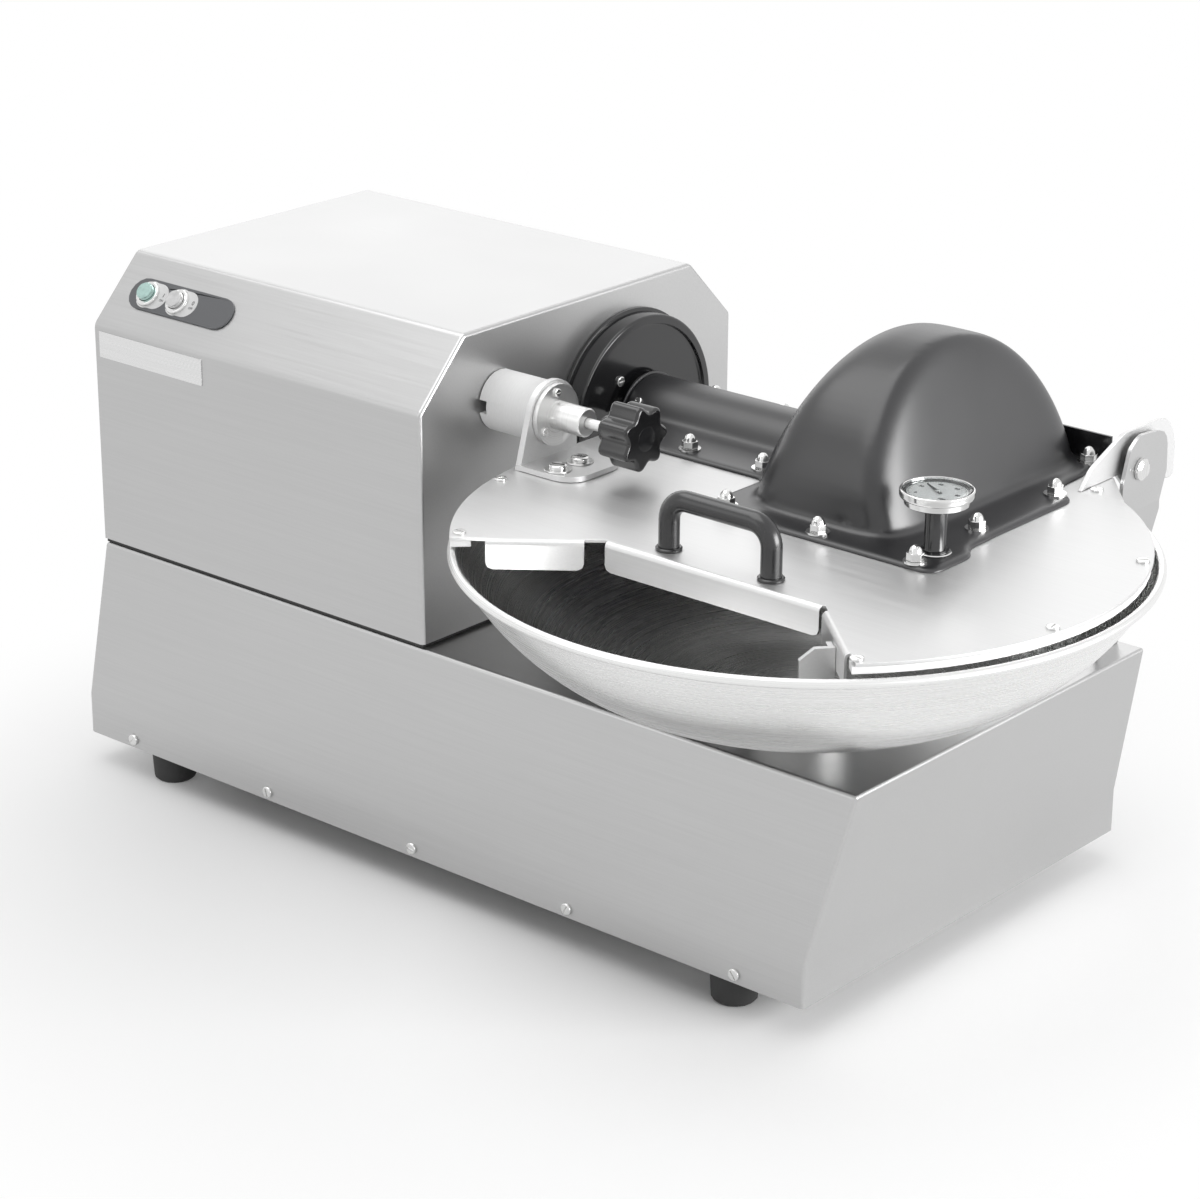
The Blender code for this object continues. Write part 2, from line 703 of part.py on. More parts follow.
def make_housing_shell():
    """Wrap and right wall folded from one sheet; open below and at the left end."""
    obj = plate("housing_shell", [housing_outline()], HOUSING_LENGTH)
    bm = bmesh.new()
    bm.from_mesh(obj.data)
    bmesh.ops.dissolve_limit(bm, angle_limit=0.01, verts=bm.verts, edges=bm.edges)
    bm.normal_update()
    open_sides = [face for face in bm.faces if face.normal.z < -0.9 or face.normal.y < -0.9]
    bmesh.ops.delete(bm, geom=open_sides, context='FACES_ONLY')
    folds = [edge for edge in bm.edges if not edge.is_boundary]
    bmesh.ops.bevel(bm, geom=folds, offset=HOUSING_EDGE, segments=2, profile=0.5, affect='EDGES')
    bm.to_mesh(obj.data)
    bm.free()
    shell(obj, HOUSING_SHEET)
    place(obj, "frame", STEEL, (HOUSING_X - HOUSING_LENGTH / 2, 0, 0), ALONG_X)
    shaft = disc("wall_shaft_hole", SHAFT_RADIUS + 0.002, -0.02, 0.02, 16)
    socket = disc("wall_pin_hole", PIN_ROD_RADIUS + 2 * GAP, -0.02, 0.02, 16)
    cut(obj, like(shaft, obj, (HOUSING_X, SHAFT_Y, SHAFT_Z), ALONG_X),
        like(socket, obj, (HOUSING_X, LOCK_Y, LOCK_Z), ALONG_X))
    for index, x in enumerate(BUTTON_X):
        hole = disc("chamfer_hole_%d" % index, BEZEL_BODY_RADIUS + 2 * GAP, -0.01, 0.01, 16)
        cut(obj, like(hole, obj, chamfer_point(x), chamfer_turn()))
    return obj


def make_housing_end():
    """Removable left wall, set into the wrap, with ventilation slots for the motor."""
    fold = HOUSING_EDGE / math.tan(math.radians(22.5))
    outline = housing_outline(HOUSING_SHEET + GAP)
    corners = [(y, z, 0 if index < 2 else fold) for index, (y, z) in enumerate(outline)]
    obj = plate("housing_end_panel", [rounded(corners, 2)], HOUSING_SHEET)
    x = TOP_LEFT + HOUSING_SHEET
    place(obj, "frame", STEEL, (x, 0, 0), ALONG_X)
    for index in range(VENT_COUNT):
        z = MOTOR_Z + VENT_PITCH * (index - VENT_COUNT / 2)
        vent = block("end_vent", (x - 0.01, MOTOR_Y - VENT_LENGTH / 2, z),
                     (x + 0.01, MOTOR_Y + VENT_LENGTH / 2, z + VENT_WIDTH))
        cut(obj, like(vent, obj))
    return obj


def make_housing_seal():
    """Dark strip between the housing and the base top."""
    left, right = TOP_LEFT + SEAL_SETBACK, HOUSING_X - SEAL_SETBACK
    front, back = TOP_FRONT + SEAL_SETBACK, TOP_BACK - SEAL_SETBACK
    outer = [(left, front), (right, front), (right, back), (left, back)]
    inner = [(left + SEAL_WIDTH, front + SEAL_WIDTH), (right - SEAL_WIDTH, front + SEAL_WIDTH),
             (right - SEAL_WIDTH, back - SEAL_WIDTH), (left + SEAL_WIDTH, back - SEAL_WIDTH)]
    obj = plate("housing_seal", [outer, inner], SEAL_HEIGHT)
    return place(obj, "frame", RUBBER, (0, 0, BASE_TOP_Z + GAP + SEAL_HEIGHT / 2))


def make_shaft_disc():
    """Round black cover over the knife bearing, with a lipped rim and a recessed face."""
    face = DISC_DEPTH - DISC_RECESS
    edge = DISC_EDGE
    obj = turned("shaft_disc", ((0, face), (DISC_RECESS_RADIUS, face),
                                (DISC_RECESS_RADIUS + 0.0015, DISC_DEPTH),
                                (DISC_FRONT_RADIUS - edge, DISC_DEPTH),
                                (DISC_FRONT_RADIUS - edge * 0.3, DISC_DEPTH - edge * 0.3),
                                (DISC_FRONT_RADIUS, DISC_DEPTH - edge), (DISC_FRONT_RADIUS, DISC_LIP),
                                (DISC_RADIUS, DISC_LIP), (DISC_RADIUS, 0), (0, 0)), 36)
    x = HOUSING_X + GAP
    place(obj, "frame", BLACK, (x, SHAFT_Y, COVER_AXIS_Z), ALONG_X)
    hole = disc("disc_shaft_hole", SHAFT_RADIUS + 2 * GAP, -0.01, 0.03, 20)
    cut(obj, like(hole, obj, (x, SHAFT_Y, SHAFT_Z), ALONG_X))
    return obj


def make_quill():
    """Bearing tube of the knife shaft, bolted to the inside of the housing's right wall."""
    outer = BEARING_RADIUS + TUBE_WALL
    obj = turned("knife_bearing_tube", ((BEARING_RADIUS, 0), (QUILL_FLANGE_RADIUS, 0),
                                        (QUILL_FLANGE_RADIUS, -QUILL_FLANGE), (outer, -QUILL_FLANGE),
                                        (outer, -QUILL_LENGTH), (BEARING_RADIUS, -QUILL_LENGTH)),
                 24, True)
    return place(obj, "frame", CAST, (HOUSING_INNER_X - GAP, SHAFT_Y, SHAFT_Z), ALONG_X)


def make_bearings():
    bearing = ring("bearing", SHAFT_RADIUS + GAP, BEARING_RADIUS - GAP, -BEARING_WIDTH / 2,
                   BEARING_WIDTH / 2, 24)
    right = HOUSING_INNER_X - GAP
    inset = BEARING_WIDTH / 2 + 0.002
    copies(bearing, "frame", POLISHED,
           (("knife_bearing_front", (right - inset, SHAFT_Y, SHAFT_Z), ALONG_X),
            ("knife_bearing_rear", (right - QUILL_LENGTH + inset, SHAFT_Y, SHAFT_Z), ALONG_X)))


def knife_plane(index):
    return BOWL_X + (index - (KNIFE_COUNT - 1) / 2) * KNIFE_PITCH


KNIVES_LEFT = knife_plane(0) - KNIFE_THICKNESS / 2 - GAP
KNIVES_RIGHT = knife_plane(KNIFE_COUNT - 1) + KNIFE_THICKNESS / 2 + GAP


def make_knife_shaft():
    """Shaft from the pulley to the knives; its collar takes the clamping force of the nut."""
    left = PULLEY_X - PULLEY_WIDTH / 2 - SHAFT_END
    right = KNIVES_RIGHT + CLAMP_NUT_LENGTH + SHAFT_END
    obj = turned("knife_shaft", ((0, right), (SHAFT_RADIUS - 0.001, right),
                                 (SHAFT_RADIUS, right - 0.001), (SHAFT_RADIUS, KNIVES_LEFT),
                                 (COLLAR_RADIUS, KNIVES_LEFT),
                                 (COLLAR_RADIUS, KNIVES_LEFT - COLLAR_LENGTH),
                                 (SHAFT_RADIUS, KNIVES_LEFT - COLLAR_LENGTH), (SHAFT_RADIUS, left),
                                 (0, left)), 20)
    return place(obj, "knife_set", POLISHED, (0, SHAFT_Y, SHAFT_Z), ALONG_X)


def bowl_arc():
    """Centre radius, centre height, outer arc radius and end angle of the bowl's section."""
    reach = RIM_RADIUS - RIM_BEAD - BOWL_FLAT_RADIUS
    rise = RIM_Z - RIM_BEAD - BOWL_LOW
    radius = (reach ** 2 + rise ** 2) / (2 * rise)
    return BOWL_FLAT_RADIUS, BOWL_LOW + radius, radius, math.asin(reach / radius)


def bowl_inner_height(radius_from_axis):
    centre_r, centre_z, radius, _ = bowl_arc()
    offset = max(radius_from_axis - centre_r, 0)
    return centre_z - math.sqrt((radius - BOWL_WALL) ** 2 - offset ** 2)


def knife_reach():
    """Distance from the shaft to the bowl's wall or to the cover, less the running clearance."""
    centre_r, centre_z, radius, _ = bowl_arc()
    offset = math.hypot(SHAFT_Y - BOWL_Y - centre_r, SHAFT_Z - centre_z)
    to_bowl = radius - BOWL_WALL - offset
    to_crown = FLANGE_LOW + DOME_HEIGHT - COVER_WALL - SHAFT_Z
    to_side = DOME_HALF_WIDTH - COVER_WALL - abs(SHAFT_Y - DOME_Y)
    return min(to_bowl, to_crown, to_side) - KNIFE_CLEARANCE


def make_knife(index):
    """Sickle blade: a spiral cutting edge ground thin, a straight back and a clamping hub."""
    tip = knife_reach()
    edge = []
    for step in range(KNIFE_STEPS + 1):
        share = step / KNIFE_STEPS
        angle = KNIFE_SWEEP * share
        radius = KNIFE_HUB_RADIUS + (tip - KNIFE_HUB_RADIUS) * share ** 0.8
        edge.append((radius * math.cos(angle), radius * math.sin(angle)))
    back_start = math.degrees(KNIFE_SWEEP) + KNIFE_BACK
    outline = edge[1:] + list(arc((0, 0), KNIFE_HUB_RADIUS, back_start, 360, 10))
    obj = plate("knife_%d" % (index + 1), [outline, circle((0, 0), SHAFT_RADIUS + GAP, 16)],
                KNIFE_THICKNESS)
    ground = [Vector(point) for point in edge[2:]]
    for vert in obj.data.vertices:
        if any((vert.co.xy - point).length < 0.00005 for point in ground):
            vert.co.z *= KNIFE_EDGE / KNIFE_THICKNESS
    turn = ALONG_X @ Matrix.Rotation(index * 2 * math.pi / KNIFE_COUNT, 3, 'Z')
    return place(obj, "knife_set", POLISHED, (knife_plane(index), SHAFT_Y, SHAFT_Z), turn)


def make_spacers():
    half = (KNIFE_PITCH - KNIFE_THICKNESS) / 2 - GAP
    spacer = ring("spacer", SHAFT_RADIUS + GAP, COLLAR_RADIUS, -half, half, 16)
    copies(spacer, "knife_set", POLISHED,
           [("knife_spacer_%d" % (index + 1),
             (knife_plane(index) + KNIFE_PITCH / 2, SHAFT_Y, SHAFT_Z), ALONG_X)
            for index in range(KNIFE_COUNT - 1)])


def make_clamp_nut():
    obj = plate("knife_clamp_nut", [circle((0, 0), CLAMP_NUT_RADIUS, 6),
                                    circle((0, 0), SHAFT_RADIUS + GAP, 16)], CLAMP_NUT_LENGTH)
    return place(obj, "knife_set", POLISHED,
                 (KNIVES_RIGHT + GAP + CLAMP_NUT_LENGTH / 2, SHAFT_Y, SHAFT_Z), ALONG_X)


def groove(pitch, centre):
    """Profile points of one belt groove, from its right rim to its left rim."""
    rim = pitch + PULLEY_RIM
    bottom = pitch - BELT_BELOW - GAP
    narrow = BELT_WIDTH / 2 + GAP
    wide = narrow + GROOVE_FLARE
    half = PULLEY_WIDTH / 2
    return [(rim, centre + half), (rim, centre + wide), (bottom, centre + narrow),
            (bottom, centre - narrow), (rim, centre - wide), (rim, centre - half)]


def make_pulley(name, body, bore, grooves, at):
    right = grooves[0][1] + PULLEY_WIDTH / 2
    left = grooves[-1][1] - PULLEY_WIDTH / 2
    profile = [(bore, right)]
    for pitch, centre in grooves:
        profile += groove(pitch, centre)
    profile.append((bore, left))
    return place(turned(name, profile, 24, True), body, CAST, at, ALONG_X)


def make_pulleys():
    make_pulley("knife_pulley", "knife_set", SHAFT_RADIUS + GAP, [(PULLEY_PITCH_KNIFE, PULLEY_X)],
                (0, SHAFT_Y, SHAFT_Z))
    make_pulley("motor_pulley", "motor_rotor", MOTOR_SHAFT_RADIUS + GAP,
                [(PULLEY_PITCH_BOWL_DRIVE, BOWL_PULLEY_X), (PULLEY_PITCH_MOTOR, PULLEY_X)],
                (0, MOTOR_Y, MOTOR_Z))
    make_pulley("worm_pulley", "worm", WORM_RADIUS + GAP, [(PULLEY_PITCH_WORM, BOWL_PULLEY_X)],
                (0, WORM_Y, WORM_Z))


def belt_loop(first, first_radius, second, second_radius):
    """Outline round two circles, with straight runs on their outer tangents."""
    first, second = Vector(first), Vector(second)
    span = second - first
    heading = math.degrees(math.atan2(span.y, span.x))
    lean = math.degrees(math.acos((first_radius - second_radius) / span.length))
    points = list(arc(first, first_radius, heading + lean, heading + 360 - lean, 16))
    points += list(arc(second, second_radius, heading - lean, heading + lean, 16))
    return points


def make_belt(name, first, first_pitch, second, second_pitch, x):
    loops = [belt_loop(first, first_pitch + offset, second, second_pitch + offset)
             for offset in (BELT_ABOVE, -BELT_BELOW)]
    return place(plate(name, loops, BELT_WIDTH), "frame", RUBBER, (x, 0, 0), ALONG_X)


def make_belts():
    make_belt("knife_belt", (MOTOR_Y, MOTOR_Z), PULLEY_PITCH_MOTOR, (SHAFT_Y, SHAFT_Z),
              PULLEY_PITCH_KNIFE, PULLEY_X)
    make_belt("bowl_belt", (MOTOR_Y, MOTOR_Z), PULLEY_PITCH_BOWL_DRIVE, (WORM_Y, WORM_Z),
              PULLEY_PITCH_WORM, BOWL_PULLEY_X)


def make_motor():
    """Finned stator on its foot, with an end bell at each end and a terminal box on top."""
    fins = []
    for index in range(MOTOR_FINS):
        middle = 360 * index / MOTOR_FINS
        fins += [(MOTOR_RADIUS, middle - 6), (MOTOR_RADIUS + MOTOR_FIN, middle - 2),
                 (MOTOR_RADIUS + MOTOR_FIN, middle + 2), (MOTOR_RADIUS, middle + 6)]
    outline = [(radius * math.cos(math.radians(angle)), radius * math.sin(math.radians(angle)))
               for radius, angle in fins]
    obj = plate("motor_body", [outline], MOTOR_LENGTH)
    middle = MOTOR_FACE_X - MOTOR_END - MOTOR_LENGTH / 2
    place(obj, "frame", CAST, (middle, MOTOR_Y, MOTOR_Z), ALONG_X)
    half = MOTOR_LENGTH / 2
    wide = MOTOR_RADIUS + 0.002
    bore = MOTOR_SHAFT_RADIUS + GAP
    front = turned("motor_front_bell", ((bore, half + MOTOR_END), (0.024, half + MOTOR_END),
                                        (0.028, half + 0.018), (wide - 0.006, half + 0.014),
                                        (wide, half + 0.006), (wide, half - 0.004),
                                        (bore, half - 0.004)), 24, True)
    rear = turned("motor_cowl", ((0, 0.004 - half), (wide, 0.004 - half), (wide, 0.008 - half - MOTOR_END),
                                 (wide - 0.010, -half - MOTOR_END), (0, -half - MOTOR_END)), 24)
    foot = block("motor_foot", (middle - half + 0.01, MOTOR_Y - MOTOR_FOOT_HALF, BASE_TOP_Z + GAP),
                 (middle + half - 0.01, MOTOR_Y + MOTOR_FOOT_HALF, MOTOR_Z - MOTOR_RADIUS + 0.012))
    box_low = MOTOR_Z + MOTOR_RADIUS - 0.012
    long, wide_box, high = TERMINAL_BOX
    box = block("terminal_box", (middle - long / 2, MOTOR_Y - wide_box / 2, box_low),
                (middle + long / 2, MOTOR_Y + wide_box / 2, box_low + high), 0.004, 1)
    at = (middle, MOTOR_Y, MOTOR_Z)
    return join(obj, like(front, obj, at, ALONG_X), like(rear, obj, at, ALONG_X), like(foot, obj),
                like(box, obj))


def make_motor_shaft():
    left = MOTOR_FACE_X - 0.020
    right = BOWL_PULLEY_X + PULLEY_WIDTH / 2 + SHAFT_END
    obj = disc("motor_shaft", MOTOR_SHAFT_RADIUS, left, right, 20)
    return place(obj, "motor_rotor", POLISHED, (0, MOTOR_Y, MOTOR_Z), ALONG_X)


def make_gearbox():
    """Worm gear case under the bowl, hung from the base top by its flanged neck."""
    top = WORM_Z + GEARBOX_HALF_Z
    obj = block("gearbox_case",
                (BOWL_X - GEARBOX_HALF_X, BOWL_Y - GEARBOX_FRONT, WORM_Z - GEARBOX_HALF_Z),
                (BOWL_X + GEARBOX_HALF_X, BOWL_Y + GEARBOX_BACK, top), GEARBOX_CORNER, 1)
    place(obj, "frame", CAST)
    under = BASE_TOP_Z + GAP
    neck = turned("gearbox_neck", ((0, NECK_TOP), (NECK_FLANGE_RADIUS - 0.001, NECK_TOP),
                                   (NECK_FLANGE_RADIUS, NECK_TOP - 0.001),
                                   (NECK_FLANGE_RADIUS, under), (NECK_RADIUS, under),
                                   (NECK_RADIUS, top - 0.01), (0, top - 0.01)), 24)
    tube = disc("worm_tube", WORM_TUBE_RADIUS, WORM_TUBE_LEFT, BOWL_X - GEARBOX_HALF_X + 0.01, 16)
    join(obj, like(neck, obj, (BOWL_X, BOWL_Y, 0)), like(tube, obj, (0, WORM_Y, WORM_Z), ALONG_X))
    spindle = disc("spindle_bore", SPINDLE_RADIUS + 2 * GAP, NECK_TOP - SPINDLE_REACH - 0.001,
                   NECK_TOP + 0.01, 20)
    worm = disc("worm_bore", WORM_RADIUS + 2 * GAP, WORM_TUBE_LEFT - 0.01,
                WORM_TUBE_LEFT + BORE_DEPTH, 16)
    cut(obj, like(spindle, obj, (BOWL_X, BOWL_Y, 0)), like(worm, obj, (0, WORM_Y, WORM_Z), ALONG_X))
    return obj


def make_worm_shaft():
    left = BOWL_PULLEY_X - PULLEY_WIDTH / 2 - SHAFT_END
    obj = disc("worm_shaft", WORM_RADIUS, left, WORM_TUBE_LEFT + BORE_DEPTH - GAP, 16)
    return place(obj, "worm", POLISHED, (0, WORM_Y, WORM_Z), ALONG_X)


def make_bowl():
    """Turned bowl: flat floor, one long arc up to the rim, and a rolled bead."""
    centre_r, centre_z, radius, end = bowl_arc()
    inner_radius = radius - BOWL_WALL
    last = end - 0.02
    profile = [(0, BOWL_LOW + BOWL_WALL)]
    for step in range(7):
        angle = last * step / 6
        profile.append((centre_r + inner_radius * math.sin(angle),
                        centre_z - inner_radius * math.cos(angle)))
    bead = (RIM_RADIUS - RIM_BEAD, RIM_Z - RIM_BEAD)
    profile += arc(bead, RIM_BEAD, 192, -68, 7)
    for step in range(6, -1, -1):
        angle = last * step / 6
        profile.append((centre_r + radius * math.sin(angle), centre_z - radius * math.cos(angle)))
    profile.append((0, BOWL_LOW))
    return place(turned("bowl", profile, 48), "bowl_set", STEEL, (BOWL_X, BOWL_Y, 0))


HUB_TOP = BOWL_LOW - GAP


def make_bowl_hub():
    """Boss under the bowl with a blind socket for the drive spindle."""
    low = NECK_TOP + HUB_CLEARANCE
    socket = SPINDLE_RADIUS + GAP
    crown = HUB_TOP - HUB_CROWN
    obj = turned("bowl_hub", ((0, HUB_TOP), (HUB_RADIUS, HUB_TOP), (HUB_RADIUS, low + 0.002),
                              (HUB_RADIUS - 0.002, low), (socket, low), (socket, crown),
                              (0, crown)), 32)
    return place(obj, "bowl_set", ALUMINIUM, (BOWL_X, BOWL_Y, 0))


def make_bowl_spindle():
    obj = disc("bowl_spindle", SPINDLE_RADIUS, NECK_TOP - SPINDLE_REACH,
               HUB_TOP - HUB_CROWN - GAP, 20)
    return place(obj, "bowl_set", POLISHED, (BOWL_X, BOWL_Y, 0))


def lid_outline():
    """Round plate with a trapezoid cut from its front, a tongue at the left and a hinge strip."""
    centre = (LID_X, LID_Y)
    tip = math.degrees(math.acos(OPENING_TIP_HALF / LID_RADIUS))
    shoulder = math.degrees(math.asin((TONGUE_BACK_Y - LID_Y) / LID_RADIUS))
    reach = LID_RADIUS * math.cos(math.radians(shoulder))
    left = LID_X - LID_RADIUS
    strip = EAR_BACK_Y + 0.012
    corners = ((LID_X + reach, TONGUE_BACK_Y, 0), (EAR_RIGHT_X + EAR_SHEET, EAR_BACK_Y, 0.003),
               (LID_BACK_RIGHT, strip, 0.003), (LID_BACK_RIGHT, LID_BACK_Y, 0.004),
               (LID_BACK_LEFT, LID_BACK_Y, 0.004), (LID_BACK_LEFT, strip, 0.003),
               (EAR_LEFT_X - EAR_SHEET, EAR_BACK_Y, 0.003), (LID_X - reach, TONGUE_BACK_Y, 0),
               (left, TONGUE_BACK_Y, 0.008), (left, LID_Y, 0))
    points = list(arc(centre, LID_RADIUS, -tip, shoulder, 40))[:-1] + rounded(corners, 3)[:-1]
    points += arc(centre, LID_RADIUS, 180, 180 + tip, 18)
    return points + [(OPENING_LEFT_X, OPENING_Y), (OPENING_RIGHT_X, OPENING_Y)]


def opening_edge(index):
    """Ends of one bent edge: 0 the left diagonal, 1 the straight edge, 2 the right diagonal."""
    drop = math.sqrt(LID_RADIUS ** 2 - OPENING_TIP_HALF ** 2)
    corners = [Vector((LID_X - OPENING_TIP_HALF, LID_Y - drop)), Vector((OPENING_LEFT_X, OPENING_Y)),
               Vector((OPENING_RIGHT_X, OPENING_Y)), Vector((LID_X + OPENING_TIP_HALF, LID_Y - drop))]
    return corners[index], corners[index + 1]



def edge_length(index):
    first, second = opening_edge(index)
    return (second - first).length


def tab_frame(index, along):
    """Point on a bent edge, with the turn whose own X points into the opening."""
    first, second = opening_edge(index)
    run = (second - first).normalized()
    out = Vector((run.y, -run.x, 0))
    turn = Matrix((out, Vector((0, 0, 1)), out.cross(Vector((0, 0, 1))))).transposed()
    spot = first + run * along
    return Vector((spot.x, spot.y, 0)), turn


def make_tab(index, start, end):
    """One folded lip: it curves over the edge and hangs down, with rounded lower corners."""
    inner = TAB_BEND - LID_SHEET
    axis = (0, LID_TOP_Z - TAB_BEND)
    low = LID_TOP_Z - TAB_HEIGHT
    outline = [(-0.002, LID_LOW), (-0.002, LID_TOP_Z)]
    outline += arc(axis, TAB_BEND, 90, 0, 4)
    outline += [(TAB_BEND, low), (inner, low)]
    outline += arc(axis, inner, 0, 90, 3)
    length = end - start
    obj = plate("tab_%d" % index, [outline[::-1]], length)
    bm = bmesh.new()
    bm.from_mesh(obj.data)
    bmesh.ops.dissolve_limit(bm, angle_limit=0.01, verts=bm.verts, edges=bm.edges)
    corners = [edge for edge in bm.edges
               if all(abs(vert.co.y - low) < 0.0001 and abs(vert.co.z) > length / 2 - 0.0001
                      for vert in edge.verts)]
    corners = [edge for edge in corners if edge.verts[0].co.z * edge.verts[1].co.z > 0]
    bmesh.ops.bevel(bm, geom=corners, offset=TAB_CORNER, segments=2, profile=0.5, affect='EDGES')
    bm.to_mesh(obj.data)
    bm.free()
    return obj


def make_lid_plate():
    obj = plate("lid_plate", [lid_outline()], LID_SHEET)
    place(obj, "lid", STEEL, (0, 0, LID_TOP_Z - LID_SHEET / 2))
    for index, (start, inset) in enumerate(TAB_INSETS):
        end = edge_length(index) - inset
        middle, turn = tab_frame(index, (start + end) / 2)
        join(obj, like(make_tab(index, start, end), obj, middle, turn))
    slot = block("shaft_slot", (LID_X - LID_RADIUS - 0.01, SHAFT_Y - SLOT_HALF, LID_LOW - 0.01),
                 (WINDOW_LEFT + 0.01, SHAFT_Y + SLOT_HALF, LID_TOP_Z + 0.01))
    window = block("knife_window", (WINDOW_LEFT, WINDOW_FRONT, LID_LOW - 0.011),
                   (WINDOW_RIGHT, WINDOW_BACK, LID_TOP_Z + 0.011))
    probe = disc("probe_hole", PROBE_RADIUS + 2 * GAP, LID_LOW - 0.01, LID_TOP_Z + 0.01, 12)
    cut(obj, like(slot, obj), like(window, obj), like(probe, obj, (GAUGE_X, GAUGE_Y, 0)))
    return flush(obj)


def ring_sector(start, end, steps, inner, outer):
    centre = (LID_X, LID_Y)
    return list(arc(centre, outer, start, end, steps)) + list(arc(centre, inner, end, start, steps))


def make_lid_seals():
    """Pale seals under the lid's edge: the right one, and the left one with its guide block."""
    inner, outer = RING_RADIUS - RING_WIDTH / 2, RING_RADIUS + RING_WIDTH / 2
    tip = math.degrees(math.acos(OPENING_TIP_HALF / LID_RADIUS))
    near = 181 - math.degrees(math.asin((SHAFT_Y - SLOT_HALF - LID_Y) / outer))
    last = math.degrees(math.acos((WINDOW_RIGHT + 0.006 - LID_X) / RING_RADIUS))
    right = ring_sector(-tip - 0.5, last, 24, inner, outer)
    left = ring_sector(near, 174 + tip, 14, inner, outer)
    left[15:15] = ring_sector(174 + tip, 179.6 + tip, 2, inner - 0.002, LID_RADIUS - 0.0005)
    for name, loop in (("lid_seal_right", right), ("lid_seal_left", left)):
        obj = plate(name, [loop], RING_HEIGHT)
        place(obj, "lid", NYLON, (0, 0, LID_LOW - GAP - RING_HEIGHT / 2))


def make_upstand():
    """Upright rear panel between the hinge ears."""
    low = LID_TOP_Z + GAP
    obj = block("rear_upstand", (LID_BACK_LEFT + 0.006, LID_BACK_Y - UPSTAND_SHEET, low),
                (LID_BACK_RIGHT - 0.001, LID_BACK_Y, low + UPSTAND_HEIGHT))
    return place(obj, "lid", BLACK)


def dome_surface(name, shrink, whole):
    """Superellipsoid: full and square at the right, sloping at the left."""
    bm = bmesh.new()
    bmesh.ops.create_uvsphere(bm, u_segments=24, v_segments=14, radius=1.0)
    left = DOME_MIDDLE - DOME_LEFT - shrink
    right = DOME_RIGHT - DOME_MIDDLE - shrink
    wide, high = DOME_HALF_WIDTH - shrink, DOME_HEIGHT - shrink
    for vert in bm.verts:
        along, across, up = vert.co.z, vert.co.x, vert.co.y
        girth = math.hypot(across, up)
        power = DOME_POWER_RIGHT if along > 0 else DOME_POWER_LEFT
        reach = math.copysign(abs(along) ** (2 / power), along)
        scale = girth ** (2 / power)
        if girth > 0.0001:
            across, up = across / girth, up / girth
        bend = 2 / DOME_POWER_SECTION
        vert.co = (reach * (right if along > 0 else left),
                   scale * wide * math.copysign(abs(across) ** bend, across),
                   scale * high * math.copysign(abs(up) ** bend, up))
    if not whole:
        cut_result = bmesh.ops.bisect_plane(bm, geom=bm.verts[:] + bm.edges[:] + bm.faces[:],
                                            plane_co=(0, 0, FLANGE_SHEET / 2), plane_no=(0, 0, 1),
                                            clear_inner=True)
        rim = [item for item in cut_result['geom_cut'] if isinstance(item, bmesh.types.BMEdge)]
        bmesh.ops.holes_fill(bm, edges=rim)
    bmesh.ops.recalc_face_normals(bm, faces=bm.faces)
    if bm.calc_volume(signed=True) < 0:
        bmesh.ops.reverse_faces(bm, faces=bm.faces)
    return from_bmesh(name, bm)


def cover_flange_outline():
    """Outline of the moulded flange round the dome and along the half tube."""
    tube_front, tube_back = SHAFT_Y - 0.0837, SHAFT_Y + 0.0478
    dome_left, dome_right = DOME_LEFT - 0.019, DOME_RIGHT + 0.0485
    dome_front, dome_back = DOME_Y - DOME_HALF_WIDTH - 0.038, DOME_Y + DOME_HALF_WIDTH + 0.0005
    gauge_right, back_right = GAUGE_X + 0.0215, LID_BACK_RIGHT - 0.003
    shoulder = dome_back - 0.0655
    return rounded(((COVER_FLANGE_LEFT, tube_front, 0.006), (dome_left, tube_front, 0.004),
                    (dome_left, dome_front, 0.014), (gauge_right, dome_front, 0.006),
                    (gauge_right, dome_front + 0.047, 0.004),
                    (dome_right + 0.0005, dome_front + 0.061, 0.004),
                    (dome_right, shoulder - 0.022, 0.004), (back_right + 0.005, shoulder, 0.004),
                    (back_right, dome_back, 0.008), (dome_left + 0.009, dome_back, 0.008),
                    (dome_left + 0.006, tube_back, 0.004),
                    (COVER_FLANGE_LEFT, tube_back, 0.006)), 3)


def make_knife_cover():
    """Flange, dome and half tube in one moulding, hollow from below."""
    obj = plate("knife_cover", [cover_flange_outline()], FLANGE_SHEET)
    place(obj, "lid", BLACK, (0, 0, FLANGE_LOW + FLANGE_SHEET / 2))
    base = (DOME_MIDDLE, DOME_Y, FLANGE_LOW)
    dome = dome_surface("dome_outside", 0.0, False)
    hollow = dome_surface("dome_inside", COVER_WALL, True)
    half = COVER_TUBE_RADIUS
    sill = FLANGE_LOW - COVER_AXIS_Z
    spring = math.degrees(math.asin(sill / half))
    middle = (COVER_TUBE_LEFT + DOME_MIDDLE - 0.02) / 2
    length = DOME_MIDDLE - 0.02 - COVER_TUBE_LEFT
    tube = plate("tube_outside", [list(arc((0, 0), half, spring, 180 - spring, 14))], length)
    bore = disc("tube_inside", half - COVER_WALL, COVER_TUBE_LEFT - 0.01, DOME_MIDDLE, 28)
    join(obj, like(dome, obj, base), like(tube, obj, (middle, SHAFT_Y, COVER_AXIS_Z), ALONG_X))
    probe = disc("cover_probe_hole", PROBE_RADIUS + 2 * GAP, FLANGE_LOW - 0.01, FLANGE_TOP + 0.01, 12)
    return cut(obj, like(hollow, obj, base), like(bore, obj, (0, SHAFT_Y, COVER_AXIS_Z), ALONG_X),
               like(probe, obj, (GAUGE_X, GAUGE_Y, 0)))


